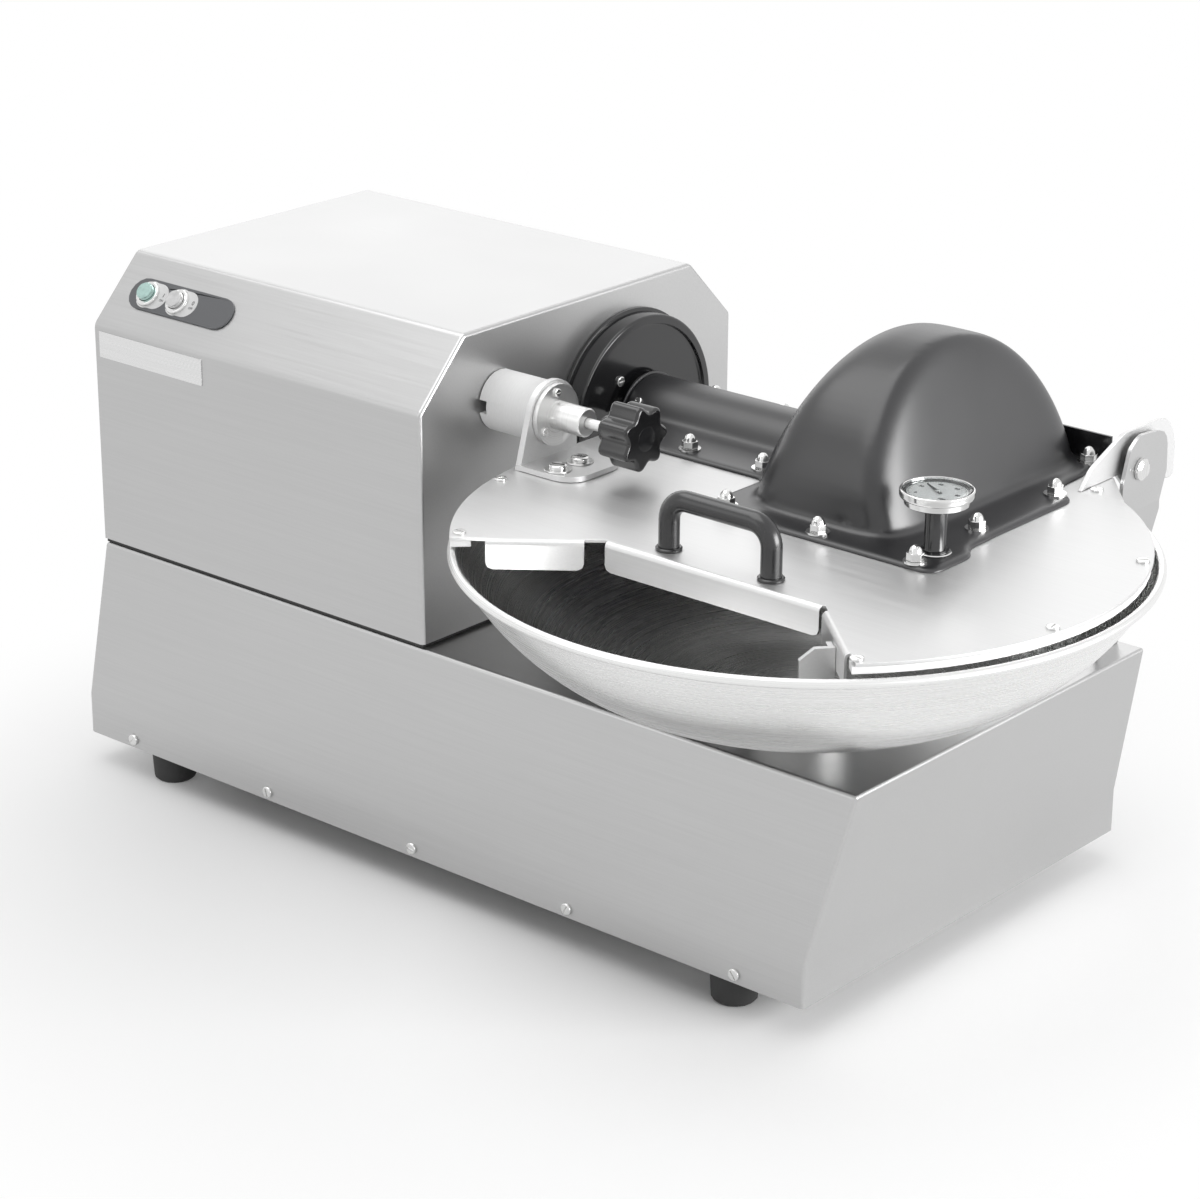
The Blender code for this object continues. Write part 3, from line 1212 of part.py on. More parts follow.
def ear_outline():
    """Side view of a hinge ear as (y, z): it rises from the lid and ends in a hook."""
    base = LID_TOP_Z + GAP
    top = HINGE_Z + EAR_TOP
    tail = HINGE_Y + EAR_TAIL
    low = HINGE_Z - EAR_HOOK_DROP
    return rounded(((EAR_FRONT_Y, base, 0), (EAR_BACK_Y + 0.006, base, 0),
                    (HINGE_Y - 0.006, HINGE_Z - 0.015, 0.004), (HINGE_Y + 0.012, HINGE_Z - 0.015, 0.006),
                    (HINGE_Y + 0.030, HINGE_Z - 0.008, 0.010), (tail - 0.012, HINGE_Z - 0.008, 0.006),
                    (tail - 0.012, low, 0.004), (tail, low, 0.004), (tail, HINGE_Z + 0.004, 0.020),
                    (tail - 0.010, top, 0.020), (HINGE_Y - 0.012, top + 0.001, 0.030),
                    (EAR_FRONT_Y + 0.013, base + 0.014, 0.020)), 3)


def make_hinge_ears():
    """Two upright ears on the lid, bored for the hinge pins."""
    bore = circle((HINGE_Y, HINGE_Z), PIN_RADIUS + 2 * GAP, 12)
    ear = plate("ear", [ear_outline(), bore], EAR_SHEET)
    copies(ear, "lid", STEEL, (("hinge_ear_left", (EAR_LEFT_X, 0, 0), ALONG_X),
                               ("hinge_ear_right", (EAR_RIGHT_X, 0, 0), ALONG_X)))


def post_outline():
    """Side view of a hinge post as (y, z), from its foot up to the pin."""
    top = HINGE_Z + EAR_TOP - 0.001
    foot = BASE_TOP_Z + GAP
    return rounded(((POST_FRONT_Y, foot, 0), (TOP_BACK - 0.006, foot, 0), (HINGE_Y + 0.032, POST_BEND_Z - 0.007, 0.006),
                    (HINGE_Y + 0.030, POST_BEND_Z, 0.004), (HINGE_Y + 0.038, HINGE_Z - 0.010, 0.010),
                    (HINGE_Y + 0.036, top - 0.004, 0.014), (HINGE_Y - 0.002, top, 0.016),
                    (HINGE_Y - 0.014, HINGE_Z + 0.018, 0.010), (HINGE_Y - 0.022, HINGE_Z - 0.008, 0.010),
                    (POST_FRONT_Y, POST_BEND_Z - 0.020, 0.010)), 3)


def make_hinge_post(name, ear_x, side):
    """Folded post on the base top; it leans in below its bend and ends in a foot."""
    post = plate("post", [post_outline(), circle((HINGE_Y, HINGE_Z), PIN_RADIUS + GAP, 12)],
                 EAR_SHEET)
    bm = bmesh.new()
    bm.from_mesh(baked_mesh(post))
    bmesh.ops.bisect_plane(bm, geom=bm.verts[:] + bm.edges[:] + bm.faces[:],
                           plane_co=(0, POST_BEND_Z, 0), plane_no=(0, 1, 0))
    slope = POST_FOOT_SHIFT / (POST_BEND_Z - BASE_TOP_Z)
    for vert in bm.verts:
        vert.co.z -= side * max(POST_BEND_Z - vert.co.y, 0) * slope
    x = ear_x + side * (EAR_SHEET + POST_GAP)
    obj = place(from_bmesh(name, bm), "frame", STEEL, (x, 0, 0), ALONG_X)
    boss_ends = sorted((-side * (EAR_SHEET / 2 - 0.001), -side * (EAR_SHEET / 2 + POST_GAP - GAP)))
    boss = ring("post_boss", PIN_RADIUS + 2 * GAP, POST_BOSS_RADIUS, *boss_ends, 12)
    foot_ends = sorted((-side * POST_FOOT_SHIFT, -side * (POST_FOOT_SHIFT + POST_FOOT)))
    low = BASE_TOP_Z + GAP
    foot = block("post_foot", (POST_FRONT_Y + SEAT, low + SEAT, foot_ends[0]),
                 (TOP_BACK - 0.0065, low + EAR_SHEET, foot_ends[1]))
    return join(obj, like(boss, obj, (x, HINGE_Y, HINGE_Z), ALONG_X),
                like(foot, obj, (x, 0, 0), ALONG_X))


def make_hinge_pins():
    """Slotted pivot screws through post and ear, with a nut on the ear's inner side."""
    head = EAR_SHEET / 2 + POST_GAP + EAR_SHEET + GAP
    shank = -EAR_SHEET / 2 - GAP
    pin = turned("pin", ((0, head + PIN_HEAD), (PIN_HEAD_RADIUS * 0.7, head + PIN_HEAD),
                         (PIN_HEAD_RADIUS, head + PIN_HEAD * 0.6), (PIN_HEAD_RADIUS, head),
                         (PIN_RADIUS, head), (PIN_RADIUS, shank), (PIN_RADIUS + 0.0025, shank),
                         (PIN_RADIUS + 0.0025, shank - 0.004), (0, shank - 0.004)), 12)
    turned_left = Matrix(((0, 0, -1), (0, 1, 0), (1, 0, 0)))
    copies(pin, "frame", POLISHED,
           (("hinge_pin_left", (EAR_LEFT_X, HINGE_Y, HINGE_Z), turned_left),
            ("hinge_pin_right", (EAR_RIGHT_X, HINGE_Y, HINGE_Z), ALONG_X)))


def make_handle():
    """Bent round bar standing on the lid's front edge."""
    half = HANDLE_SPAN / 2
    turn = HANDLE_CORNER
    path = [(-half, 0)]
    path += arc((turn - half, HANDLE_RISE - turn), turn, 180, 90, 4)
    path += arc((half - turn, HANDLE_RISE - turn), turn, 90, 0, 4)
    path.append((half, 0))
    curve = bpy.data.curves.new("lid_handle", 'CURVE')
    curve.dimensions = '3D'
    curve.bevel_depth = HANDLE_RADIUS
    curve.bevel_resolution = 3
    curve.use_fill_caps = True
    spline = curve.splines.new('POLY')
    spline.points.add(len(path) - 1)
    for point, (x, z) in zip(spline.points, path):
        point.co = (x, 0, z, 1)
    bar = bpy.data.objects.new("handle_path", curve)
    CUTTERS.objects.link(bar)
    obj = bpy.data.objects.new("lid_handle", baked_mesh(bar))
    PARTS.objects.link(obj)
    return place(obj, "lid", BLACK, (HANDLE_X, HANDLE_Y, LID_TOP_Z + GAP))


def make_lock_bracket():
    """Upright plate with a round head, on a foot that is bolted to the lid."""
    base = FLANGE_LOW
    centre = Vector((LOCK_Y, LOCK_Z))
    head = LOCK_RADIUS + BRACKET_MARGIN
    corner = Vector((BRACKET_Y - BRACKET_HALF, base))
    away = corner - centre
    heading = math.degrees(math.atan2(away.y, away.x)) % 360
    tangent = heading - math.degrees(math.acos(head / away.length))
    outline = [(LOCK_Y + head, base)] + list(arc(centre, head, 0, tangent, 12)) + [tuple(corner)]
    hole = circle(centre, SPINDLE_ROD_RADIUS + 2 * GAP, 12)
    obj = plate("lock_bracket", [outline, hole], LOCK_PLATE)
    place(obj, "lid", STEEL, (LOCK_PLATE_X + LOCK_PLATE / 2, 0, 0), ALONG_X)
    left, right = LOCK_PLATE_X + 0.001, LOCK_PLATE_X + LOCK_BASE_LENGTH
    front, back = corner.x + SEAT, LOCK_Y + head - SEAT
    foot = plate("lock_foot", [rounded(((left, front, 0), (right, front, LOCK_BASE_CORNER),
                                        (right, back, LOCK_BASE_CORNER), (left, back, 0)), 4)],
                 LOCK_BASE_SHEET)
    return join(obj, like(foot, obj, (0, 0, base + SEAT + LOCK_BASE_SHEET / 2)))


def make_lock_block():
    """White guide cylinder of the locking pin, slotted at the housing's side."""
    right = LOCK_PLATE_X - GAP
    obj = ring("lock_block", PIN_ROD_RADIUS + GAP, LOCK_RADIUS, LOCK_LEFT, right, 24)
    place(obj, "lid", NYLON, (0, LOCK_Y, LOCK_Z), ALONG_X)
    slot = block("lock_slot", (-0.04, -LOCK_SLOT_WIDTH / 2, LOCK_LEFT - 0.01),
                 (0.04, LOCK_SLOT_WIDTH / 2, LOCK_LEFT + LOCK_SLOT_DEPTH))
    return cut(obj, like(slot, obj, (0, LOCK_Y, LOCK_Z), ALONG_X))


def make_lock_flange():
    bore = SPINDLE_ROD_RADIUS + GAP
    face = LOCK_FACE_X + LOCK_FLANGE
    end = face + BUSHING_LENGTH
    obj = turned("lock_flange", ((bore, end), (BUSHING_RADIUS - 0.001, end),
                                 (BUSHING_RADIUS, end - 0.001), (BUSHING_RADIUS, face),
                                 (LOCK_RADIUS, face), (LOCK_RADIUS, LOCK_FACE_X),
                                 (bore, LOCK_FACE_X)), 24, True)
    return place(obj, "lid", POLISHED, (0, LOCK_Y, LOCK_Z), ALONG_X)


def make_lock_pin():
    right = SPINDLE_LEFT - GAP
    left = right - PIN_ROD_LENGTH
    obj = turned("lock_pin", ((0, right), (PIN_ROD_RADIUS, right), (PIN_ROD_RADIUS, left + 0.001),
                              (PIN_ROD_RADIUS - 0.001, left), (0, left)), 16)
    return place(obj, "lock_slide", POLISHED, (0, LOCK_Y, LOCK_Z), ALONG_X)


def make_lock_spindle():
    obj = disc("lock_spindle", SPINDLE_ROD_RADIUS, SPINDLE_LEFT, SPINDLE_RIGHT, 16)
    return place(obj, "lock_knob", POLISHED, (0, LOCK_Y, LOCK_Z), ALONG_X)


def make_star_knob():
    """Lobed black knob with a short hub."""
    outline = []
    for step in range(KNOB_LOBES * 6):
        angle = 2 * math.pi * step / (KNOB_LOBES * 6)
        radius = KNOB_RADIUS - KNOB_LOBE * (1 - math.cos(KNOB_LOBES * angle))
        outline.append((radius * math.cos(angle), radius * math.sin(angle)))
    hub_left = SPINDLE_RIGHT + GAP
    face = hub_left + KNOB_HUB_LENGTH
    obj = plate("star_knob", [outline], KNOB_LENGTH)
    place(obj, "lock_knob", BLACK, (face + KNOB_LENGTH / 2, LOCK_Y, LOCK_Z), ALONG_X)
    hub = disc("knob_hub", KNOB_HUB_RADIUS, hub_left, face + 0.005, 16)
    return join(obj, like(hub, obj, (0, LOCK_Y, LOCK_Z), ALONG_X))


def scraper_frame():
    return tab_frame(2, edge_length(2) - SCRAPER_FROM_TIP)


def scraper_height(reach):
    """Height at which the scraper just clears the bowl, at a distance from the tab's edge."""
    spot, turn = scraper_frame()
    spot = spot + turn.col[0] * reach
    return bowl_inner_height(math.hypot(spot.x - BOWL_X, spot.y - BOWL_Y)) + SCRAPER_CLEARANCE


def make_scraper():
    """Blade on the right tab that follows the bowl's wall and turns the load over."""
    heel, toe = TAB_BEND + GAP, SCRAPER_REACH
    low = [(reach, scraper_height(reach))
           for reach in (heel + (toe - heel) * share / 3 for share in range(4))]
    low[0] = (heel, low[1][1] + 0.004)
    outline = low + [(toe, SCRAPER_TOP - 0.008), (toe - 0.010, SCRAPER_TOP), (heel, SCRAPER_TOP)]
    obj = plate("scraper_plate", [outline], SCRAPER_THICKNESS)
    spot, turn = scraper_frame()
    place(obj, "lid", STEEL, spot, turn)
    low_z = LID_TOP_Z - TAB_HEIGHT
    foot = block("scraper_foot", (heel + SEAT, low_z + 0.002, 0.001),
                 (heel + SCRAPER_THICKNESS, SCRAPER_TOP - 0.001, SCRAPER_FOOT))
    return join(obj, like(foot, obj, spot, turn))


def make_thermometer():
    """Dial thermometer on a stem; its probe reaches down through the lid into the bowl."""
    low = FLANGE_TOP + GAP
    stem = turned("thermometer_stem", ((0, STEM_TOP), (GAUGE_STEM_RADIUS, STEM_TOP),
                                       (GAUGE_STEM_RADIUS, low + GAUGE_FOOT),
                                       (GAUGE_FOOT_RADIUS, low + GAUGE_FOOT),
                                       (GAUGE_FOOT_RADIUS, low), (PROBE_RADIUS, low),
                                       (PROBE_RADIUS, low - PROBE_LENGTH), (0, low - PROBE_LENGTH)), 16)
    place(stem, "lid", POLISHED, (GAUGE_X, GAUGE_Y, 0))
    inner = GAUGE_RADIUS - GAUGE_BEZEL
    case = turned("thermometer_case", ((0, GAUGE_FLOOR), (inner, GAUGE_FLOOR), (inner, GAUGE_DEPTH),
                                       (GAUGE_RADIUS - 0.001, GAUGE_DEPTH),
                                       (GAUGE_RADIUS, GAUGE_DEPTH - 0.001), (GAUGE_RADIUS, 0.002),
                                       (GAUGE_RADIUS - 0.002, 0), (0, 0)), 32)
    place(case, "lid", POLISHED, (GAUGE_X, GAUGE_Y, CASE_LOW))
    dial_low = GAUGE_FLOOR + GAP
    dial = disc("thermometer_dial", inner - GAP, dial_low, dial_low + DIAL_THICKNESS, 32)
    place(dial, "lid", NYLON, (GAUGE_X, GAUGE_Y, CASE_LOW))
    lens = disc("thermometer_lens", inner - GAP, GAUGE_DEPTH - LENS_THICKNESS - GAP,
                GAUGE_DEPTH - GAP, 32)
    place(lens, "lid", GLASS, (GAUGE_X, GAUGE_Y, CASE_LOW))
    tail = POINTER_LENGTH * 0.3
    outline = [(-0.0012, -tail), (0.0012, -tail), (0.0014, 0.0), (0.0003, POINTER_LENGTH),
               (-0.0003, POINTER_LENGTH), (-0.0014, 0.0)]
    pointer = plate("thermometer_pointer", [outline], POINTER_THICKNESS)
    turn = Matrix.Rotation(math.radians(POINTER_REST), 3, 'Z')
    height = CASE_LOW + dial_low + DIAL_THICKNESS + GAP + POINTER_THICKNESS / 2
    place(pointer, "gauge_needle", BLACK, (GAUGE_X, GAUGE_Y, height), turn)


def make_control_panel():
    """Long dark plate with round ends on the front chamfer, with a collar round each button."""
    half, radius = PANEL_LENGTH / 2, PANEL_HEIGHT / 2
    outline = list(arc((half - radius, 0), radius, -90, 90, 8))
    outline += arc((radius - half, 0), radius, 90, 270, 8)
    obj = plate("control_panel", [outline], PANEL_THICKNESS)
    lift = GAP + PANEL_THICKNESS / 2
    for x in BUTTON_X:
        sleeve = turned("sleeve", ((0, COLLAR_TOP), (BEZEL_RADIUS - 0.001, COLLAR_TOP),
                                   (BEZEL_RADIUS, COLLAR_TOP - 0.001), (BEZEL_RADIUS, 0.001),
                                   (BEZEL_BODY_RADIUS, 0.001),
                                   (BEZEL_BODY_RADIUS, -BEZEL_BODY_LENGTH),
                                   (0, -BEZEL_BODY_LENGTH)), 16)
        sleeve.location = (x - PANEL_X, 0, -lift)
        bore = disc("sleeve_bore", BEZEL_BORE, -0.03, 0.03, 16)
        bore.location = sleeve.location
        cut(join(obj, sleeve), bore)
    obj = settled(flush(obj))
    return place(obj, "frame", PANEL_GREY, chamfer_point(PANEL_X, lift), chamfer_turn())


def make_button(name, body, colour, x):
    top = COLLAR_TOP + BUTTON_PROUD
    radius = BEZEL_BORE - RUNNING
    obj = turned(name, ((0, top), (radius - 0.001, top), (radius, top - 0.001),
                        (radius, BUTTON_TRAVEL - BEZEL_BODY_LENGTH + 0.002),
                        (0, BUTTON_TRAVEL - BEZEL_BODY_LENGTH + 0.002)), 16)
    return place(obj, body, (colour, 0.35, 0.0), chamfer_point(x), chamfer_turn())


# The machine's box, which sets where the world's origin lies
CENTRE_X = (SKIRT_LEFT + BOWL_X + RIM_RADIUS) / 2
CENTRE_Y = (BOWL_Y - RIM_RADIUS + HINGE_Y + EAR_TAIL) / 2


def build():
    add_body("bowl_cutter", (-CENTRE_X, -CENTRE_Y, 0))
    add_body("frame", (0, 0, 0), "bowl_cutter")
    add_body("bowl_set", (BOWL_X, BOWL_Y, BOWL_LOW), "frame")
    add_body("knife_set", (BOWL_X, SHAFT_Y, SHAFT_Z), "frame")
    add_body("motor_rotor", (MOTOR_FACE_X, MOTOR_Y, MOTOR_Z), "frame")
    add_body("worm", (BOWL_PULLEY_X, WORM_Y, WORM_Z), "frame")
    add_body("lid", (LID_X, HINGE_Y, HINGE_Z), "frame")
    add_body("lock_slide", (LOCK_LEFT, LOCK_Y, LOCK_Z), "lid")
    add_body("lock_knob", (SPINDLE_RIGHT, LOCK_Y, LOCK_Z), "lock_slide")
    add_body("gauge_needle", (GAUGE_X, GAUGE_Y, CASE_LOW), "lid")
    add_body("start_slide", chamfer_point(BUTTON_X[0]), "frame")
    add_body("stop_slide", chamfer_point(BUTTON_X[1]), "frame")
    for make in (make_base_shell, make_base_tray, make_feet, make_housing_shell,
                 make_housing_end, make_housing_seal, make_shaft_disc, make_motor, make_quill,
                 make_bearings, make_gearbox, make_belts, make_pulleys, make_control_panel,
                 make_hinge_pins, make_cable_gland,
                 make_bowl, make_bowl_hub, make_bowl_spindle, make_knife_shaft, make_spacers,
                 make_clamp_nut, make_motor_shaft, make_worm_shaft, make_lid_plate,
                 make_hinge_ears, make_upstand, make_lid_seals, make_knife_cover, make_handle,
                 make_lock_bracket, make_lock_block, make_lock_flange, make_scraper,
                 make_thermometer, make_lock_pin, make_lock_spindle, make_star_knob):
        make()
    make_hinge_post("hinge_post_left", EAR_LEFT_X, -1)
    make_hinge_post("hinge_post_right", EAR_RIGHT_X, 1)
    for index in range(KNIFE_COUNT):
        make_knife(index)
    make_button("start_button", "start_slide", BUTTON_GREEN, BUTTON_X[0])
    make_button("stop_button", "stop_slide", BUTTON_GREY, BUTTON_X[1])


build()
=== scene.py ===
"""Looks of a tabletop meat bowl cutter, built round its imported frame.

Every length is in metres. A point written for `at` is in the base's own frame, whose origin lies
on the floor under the middle of the skirt.
"""
import json
import math

import bmesh
import bpy
from bmesh.types import BMEdge, BMVert
from bpy.props import FloatProperty, FloatVectorProperty, IntProperty, PointerProperty
from mathutils import Matrix, Vector

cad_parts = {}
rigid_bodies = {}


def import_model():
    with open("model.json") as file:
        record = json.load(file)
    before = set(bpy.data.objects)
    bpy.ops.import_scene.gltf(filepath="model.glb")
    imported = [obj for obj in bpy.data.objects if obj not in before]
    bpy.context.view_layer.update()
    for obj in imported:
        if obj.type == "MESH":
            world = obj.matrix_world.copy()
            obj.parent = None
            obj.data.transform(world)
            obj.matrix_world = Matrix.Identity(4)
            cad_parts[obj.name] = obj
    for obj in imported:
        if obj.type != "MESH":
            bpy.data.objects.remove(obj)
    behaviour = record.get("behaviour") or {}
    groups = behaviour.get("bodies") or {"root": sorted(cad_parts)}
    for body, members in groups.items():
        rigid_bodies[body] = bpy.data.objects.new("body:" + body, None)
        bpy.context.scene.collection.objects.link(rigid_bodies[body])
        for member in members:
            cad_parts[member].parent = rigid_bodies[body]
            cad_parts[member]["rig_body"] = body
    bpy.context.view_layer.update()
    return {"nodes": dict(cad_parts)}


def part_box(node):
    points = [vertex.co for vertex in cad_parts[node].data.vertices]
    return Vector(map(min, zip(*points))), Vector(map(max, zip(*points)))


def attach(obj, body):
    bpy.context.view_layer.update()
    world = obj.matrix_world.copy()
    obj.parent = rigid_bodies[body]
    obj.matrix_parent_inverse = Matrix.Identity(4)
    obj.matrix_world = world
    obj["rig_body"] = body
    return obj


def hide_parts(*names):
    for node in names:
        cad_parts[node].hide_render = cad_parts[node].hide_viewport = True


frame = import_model()

bl_info = {
    "name": "Bowl Cutter Looks",
    "version": (1, 0, 0),
    "blender": (4, 5, 0),
    "location": "View3D > Sidebar > Bowl Cutter",
    "description": "Surfaces, small fasteners and stage for a meat bowl cutter",
    "category": "Object",
}

BASE_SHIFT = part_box("base_shell")[0] - Vector((-0.370, -0.1975, 0.025))
ALONG_X = Matrix(((0, 0, 1), (1, 0, 0), (0, 1, 0))).to_4x4()
FACING_FRONT = Matrix(((1, 0, 0), (0, 0, -1), (0, 1, 0))).to_4x4()
FACING_BACK = Matrix(((-1, 0, 0), (0, 0, 1), (0, 1, 0))).to_4x4()
UPRIGHT = Matrix.Identity(4)
SMALLEST_STEP = 0.00001
CREASE, BLADE_CREASE = 40.0, 12.0  # degrees; a sharper edge stays an edge in the shading

# Places in the base's frame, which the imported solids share.
COVER_LOW, COVER_TOP = 0.3286, 0.3316
LID_TOP, BRACKET_TOP = 0.3284, 0.3328
TUBE_Y, TUBE_Z = 0.0557, 0.319
TUBE_RADIUS = 0.035
LOCK_Y, LOCK_Z = -0.0917, 0.3638
SHAFT_Z = 0.332
HOUSING_FRONT, HOUSING_TOP = -0.178, 0.4224
CHAMFER_DEPTH, CHAMFER_HEIGHT = 0.0486, 0.0508
BUTTON_X = (-0.3236, -0.2900)


def at(x, y, z):
    """A point of the base's frame, in the world's frame."""
    return Vector((x, y, z)) + BASE_SHIFT


def chamfer(x, lift):
    """Frame of a thing on the front chamfer: X along it, Y up it, Z straight out."""
    along = Vector((1, 0, 0))
    upward = Vector((0, CHAMFER_DEPTH, CHAMFER_HEIGHT)).normalized()
    out = along.cross(upward)
    turn = Matrix((along, upward, out)).transposed().to_4x4()
    middle = at(x, HOUSING_FRONT + CHAMFER_DEPTH / 2, HOUSING_TOP - CHAMFER_HEIGHT / 2)
    return Matrix.Translation(middle + out * lift) @ turn


def chosen_length(name, description, default):
    """A size in metres that a user may change."""
    return FloatProperty(name=name, description=description, default=default, unit='LENGTH')


def chosen_colour(name, description, default):
    """A colour that a user may change."""
    return FloatVectorProperty(name=name, description=description, default=default,
                               subtype='COLOR', size=3)


class CutterSizes(bpy.types.PropertyGroup):
    """Sizes of the pieces that this script makes"""

    bowl_rings: IntProperty(name="Bowl steps", description="Facets round the spun bowl",
                            default=160, min=48)
    bead: chosen_length("Rim bead", "Radius of the bowl's rolled rim", 0.0034)
    cover_grain: chosen_length("Cover mesh", "Mesh size of the moulded cover", 0.0024)
    nut_height: chosen_length("Cap nut", "Height of the cap nuts on the cover", 0.0125)
    screw_radius: chosen_length("Screw head", "Radius of the slotted heads", 0.0048)
    screw_height: chosen_length("Screw height", "Height of the slotted heads", 0.0022)
    handle_radius: chosen_length("Handle bar", "Radius of the lid handle's bar", 0.0075)
    knob_lobes: IntProperty(name="Knob lobes", description="Lobes of the star knob", default=7)
    plate_thickness: chosen_length("Bare plate", "Thickness of the bare plate", 0.0008)
    edge_round: chosen_length("Edge round", "Rounding of cut steel edges", 0.0004)


class CutterColours(bpy.types.PropertyGroup):
    """Base colours of the finishes"""

    sheet: chosen_colour("Sheet steel", "Satin stainless sheet", (0.52, 0.52, 0.52))
    bowl: chosen_colour("Bowl steel", "Spun stainless bowl", (0.84, 0.84, 0.835))
    polished: chosen_colour("Polished steel", "Turned and polished steel", (0.76, 0.76, 0.755))
    moulding: chosen_colour("Black moulding", "Moulded black plastic", (0.010, 0.010, 0.011))
    rubber: chosen_colour("Rubber", "Feet, seal and belts", (0.018, 0.018, 0.018))
    nylon: chosen_colour("White plastic", "Lock block and lid seals", (0.90, 0.90, 0.895))
    casting: chosen_colour("Casting", "Painted castings inside", (0.20, 0.22, 0.23))
    panel: chosen_colour("Panel", "Dark panel round the buttons", (0.125, 0.128, 0.135))
    start: chosen_colour("Start button", "Cap of the start button", (0.42, 0.60, 0.56))
    stop: chosen_colour("Stop button", "Cap of the stop button", (0.62, 0.62, 0.62))
    label: chosen_colour("Button label", "Light label under each button", (0.74, 0.74, 0.74))
    floor: chosen_colour("Floor", "Pale studio floor", (0.92, 0.92, 0.92))


class Value:
    """A shader socket that takes part in arithmetic."""

    def __init__(self, paint, socket):
        self.paint, self.socket = paint, socket

    def maths(self, operation, first, second):
        return self.paint.node("ShaderNodeMath", {"operation": operation}, {0: first, 1: second})

    def __add__(self, other):
        return self.maths('ADD', self, other)

    def __radd__(self, other):
        return self.maths('ADD', other, self)

    def __sub__(self, other):
        return self.maths('SUBTRACT', self, other)

    def __rsub__(self, other):
        return self.maths('SUBTRACT', other, self)

    def __mul__(self, other):
        return self.maths('MULTIPLY', self, other)

    def __rmul__(self, other):
        return self.maths('MULTIPLY', other, self)


class Shading:
    """A node tree whose nodes are made by one method."""

    def __init__(self, tree):
        self.tree = tree

    def node(self, kind, settings, inputs, output=0):
        """A node of one type: its settings first, then its sockets' values or links."""
        made = self.tree.nodes.new(kind)
        for setting, value in settings.items():
            setattr(made, setting, value)
        for socket, value in inputs.items():
            self.connect(made.inputs[socket], value)
        return Value(self, made.outputs[output])

    def connect(self, socket, value):
        if isinstance(value, Value):
            self.tree.links.new(value.socket, socket)
        else:
            socket.default_value = value

    def seen(self):
        """1 for what the camera, a mirror or a glass shows; 0 for light on the object."""
        camera, mirror, glass = (self.node("ShaderNodeLightPath", {}, {}, kind) for kind in
                                 ("Is Camera Ray", "Is Glossy Ray", "Is Transmission Ray"))
        return camera + mirror + glass


class Paint(Shading):
    """A material of one Principled shader."""

    def __init__(self, name, colour, roughness, metallic, constants=()):
        self.material = bpy.data.materials.new(name)
        self.material.use_nodes = True
        super().__init__(self.material.node_tree)
        self.shader = self.tree.nodes["Principled BSDF"]
        self.fill("Base Color", (*colour, 1.0))
        self.fill("Roughness", roughness)
        self.fill("Metallic", metallic)
        for socket, value in constants:
            self.fill(socket, value)

    def fill(self, socket, value):
        """Set or link one of the Principled shader's own sockets."""
        self.connect(self.shader.inputs[socket], value)

    def place(self, scale=(1, 1, 1), centre=(0, 0, 0)):
        """Object coordinates, measured from a centre and stretched."""
        coordinates = self.node("ShaderNodeTexCoord", {}, {}, "Object")
        shift = tuple(-c * s for c, s in zip(centre, scale))
        return self.node("ShaderNodeMapping", {}, {"Vector": coordinates, "Scale": scale,
                                                   "Location": shift})

    def noise(self, where, scale, detail=2.0):
        """Noise between 0 and 1."""
        return self.node("ShaderNodeTexNoise", {}, {"Vector": where, "Scale": scale,
                                                    "Detail": detail}, "Fac")

    def distance(self, where):
        """Distance of each point from where its coordinates start."""
        return self.node("ShaderNodeVectorMath", {"operation": 'LENGTH'}, {0: where}, "Value")

    def blend(self, share, first, second):
        """One colour turning into another; a Mix node's colour sockets are 6 and 7, and 2 out."""
        return self.node("ShaderNodeMix", {"data_type": 'RGBA'},
                         {0: share, 6: (*first, 1), 7: (*second, 1)}, 2)

    def relief(self, height, distance, strength):
        """Bump from a height, feeding Normal."""
        bump = self.node("ShaderNodeBump", {}, {"Height": height, "Distance": distance,
                                                "Strength": strength})
        self.fill("Normal", bump)


FINISHES = {}


def shade_of(colour, factor):
    """A colour made lighter or darker, and never above 1."""
    return tuple(min(channel * factor, 1.0) for channel in colour)


def sheet_finish(name, colour, grain, roughness):
    """Satin stainless sheet: a fine grain along one direction and faint handling marks."""
    paint = Paint(name, colour, roughness, 1.0)
    fine = paint.noise(paint.place(grain), 1.0, 3.0)
    broad = paint.noise(paint.place(), 7.0)
    paint.fill("Base Color", paint.blend(fine, shade_of(colour, 0.93), shade_of(colour, 1.06)))
    paint.fill("Roughness", (fine - 0.5) * 0.16 + (broad - 0.5) * 0.10 + roughness)
    paint.relief(fine, 0.00002, 0.35)
    return paint.material


def turned_finish(name, colour, centre, axis, roughness, line, metallic=1.0):
    """Turned metal or plastic: rings round an axis, from the tool's feed."""
    paint = Paint(name, colour, roughness, metallic)
    scale = [1.0, 1.0, 1.0]
    scale[axis] = 0.0
    radius = paint.distance(paint.place(tuple(scale), centre))
    along = paint.node("ShaderNodeSeparateXYZ", {}, {0: paint.place()}, axis)
    ring = paint.node("ShaderNodeCombineXYZ", {}, {0: radius * line, 1: along * line})
    feed = paint.noise(ring, 1.0, 4.0)
    smudge = paint.noise(paint.place(), 9.0)
    paint.fill("Base Color", paint.blend(feed, shade_of(colour, 0.84), shade_of(colour, 1.12)))
    paint.fill("Roughness", (feed - 0.5) * 0.18 + (smudge - 0.5) * 0.08 + roughness)
    paint.relief(feed, 0.00003, 0.4)
    return paint.material


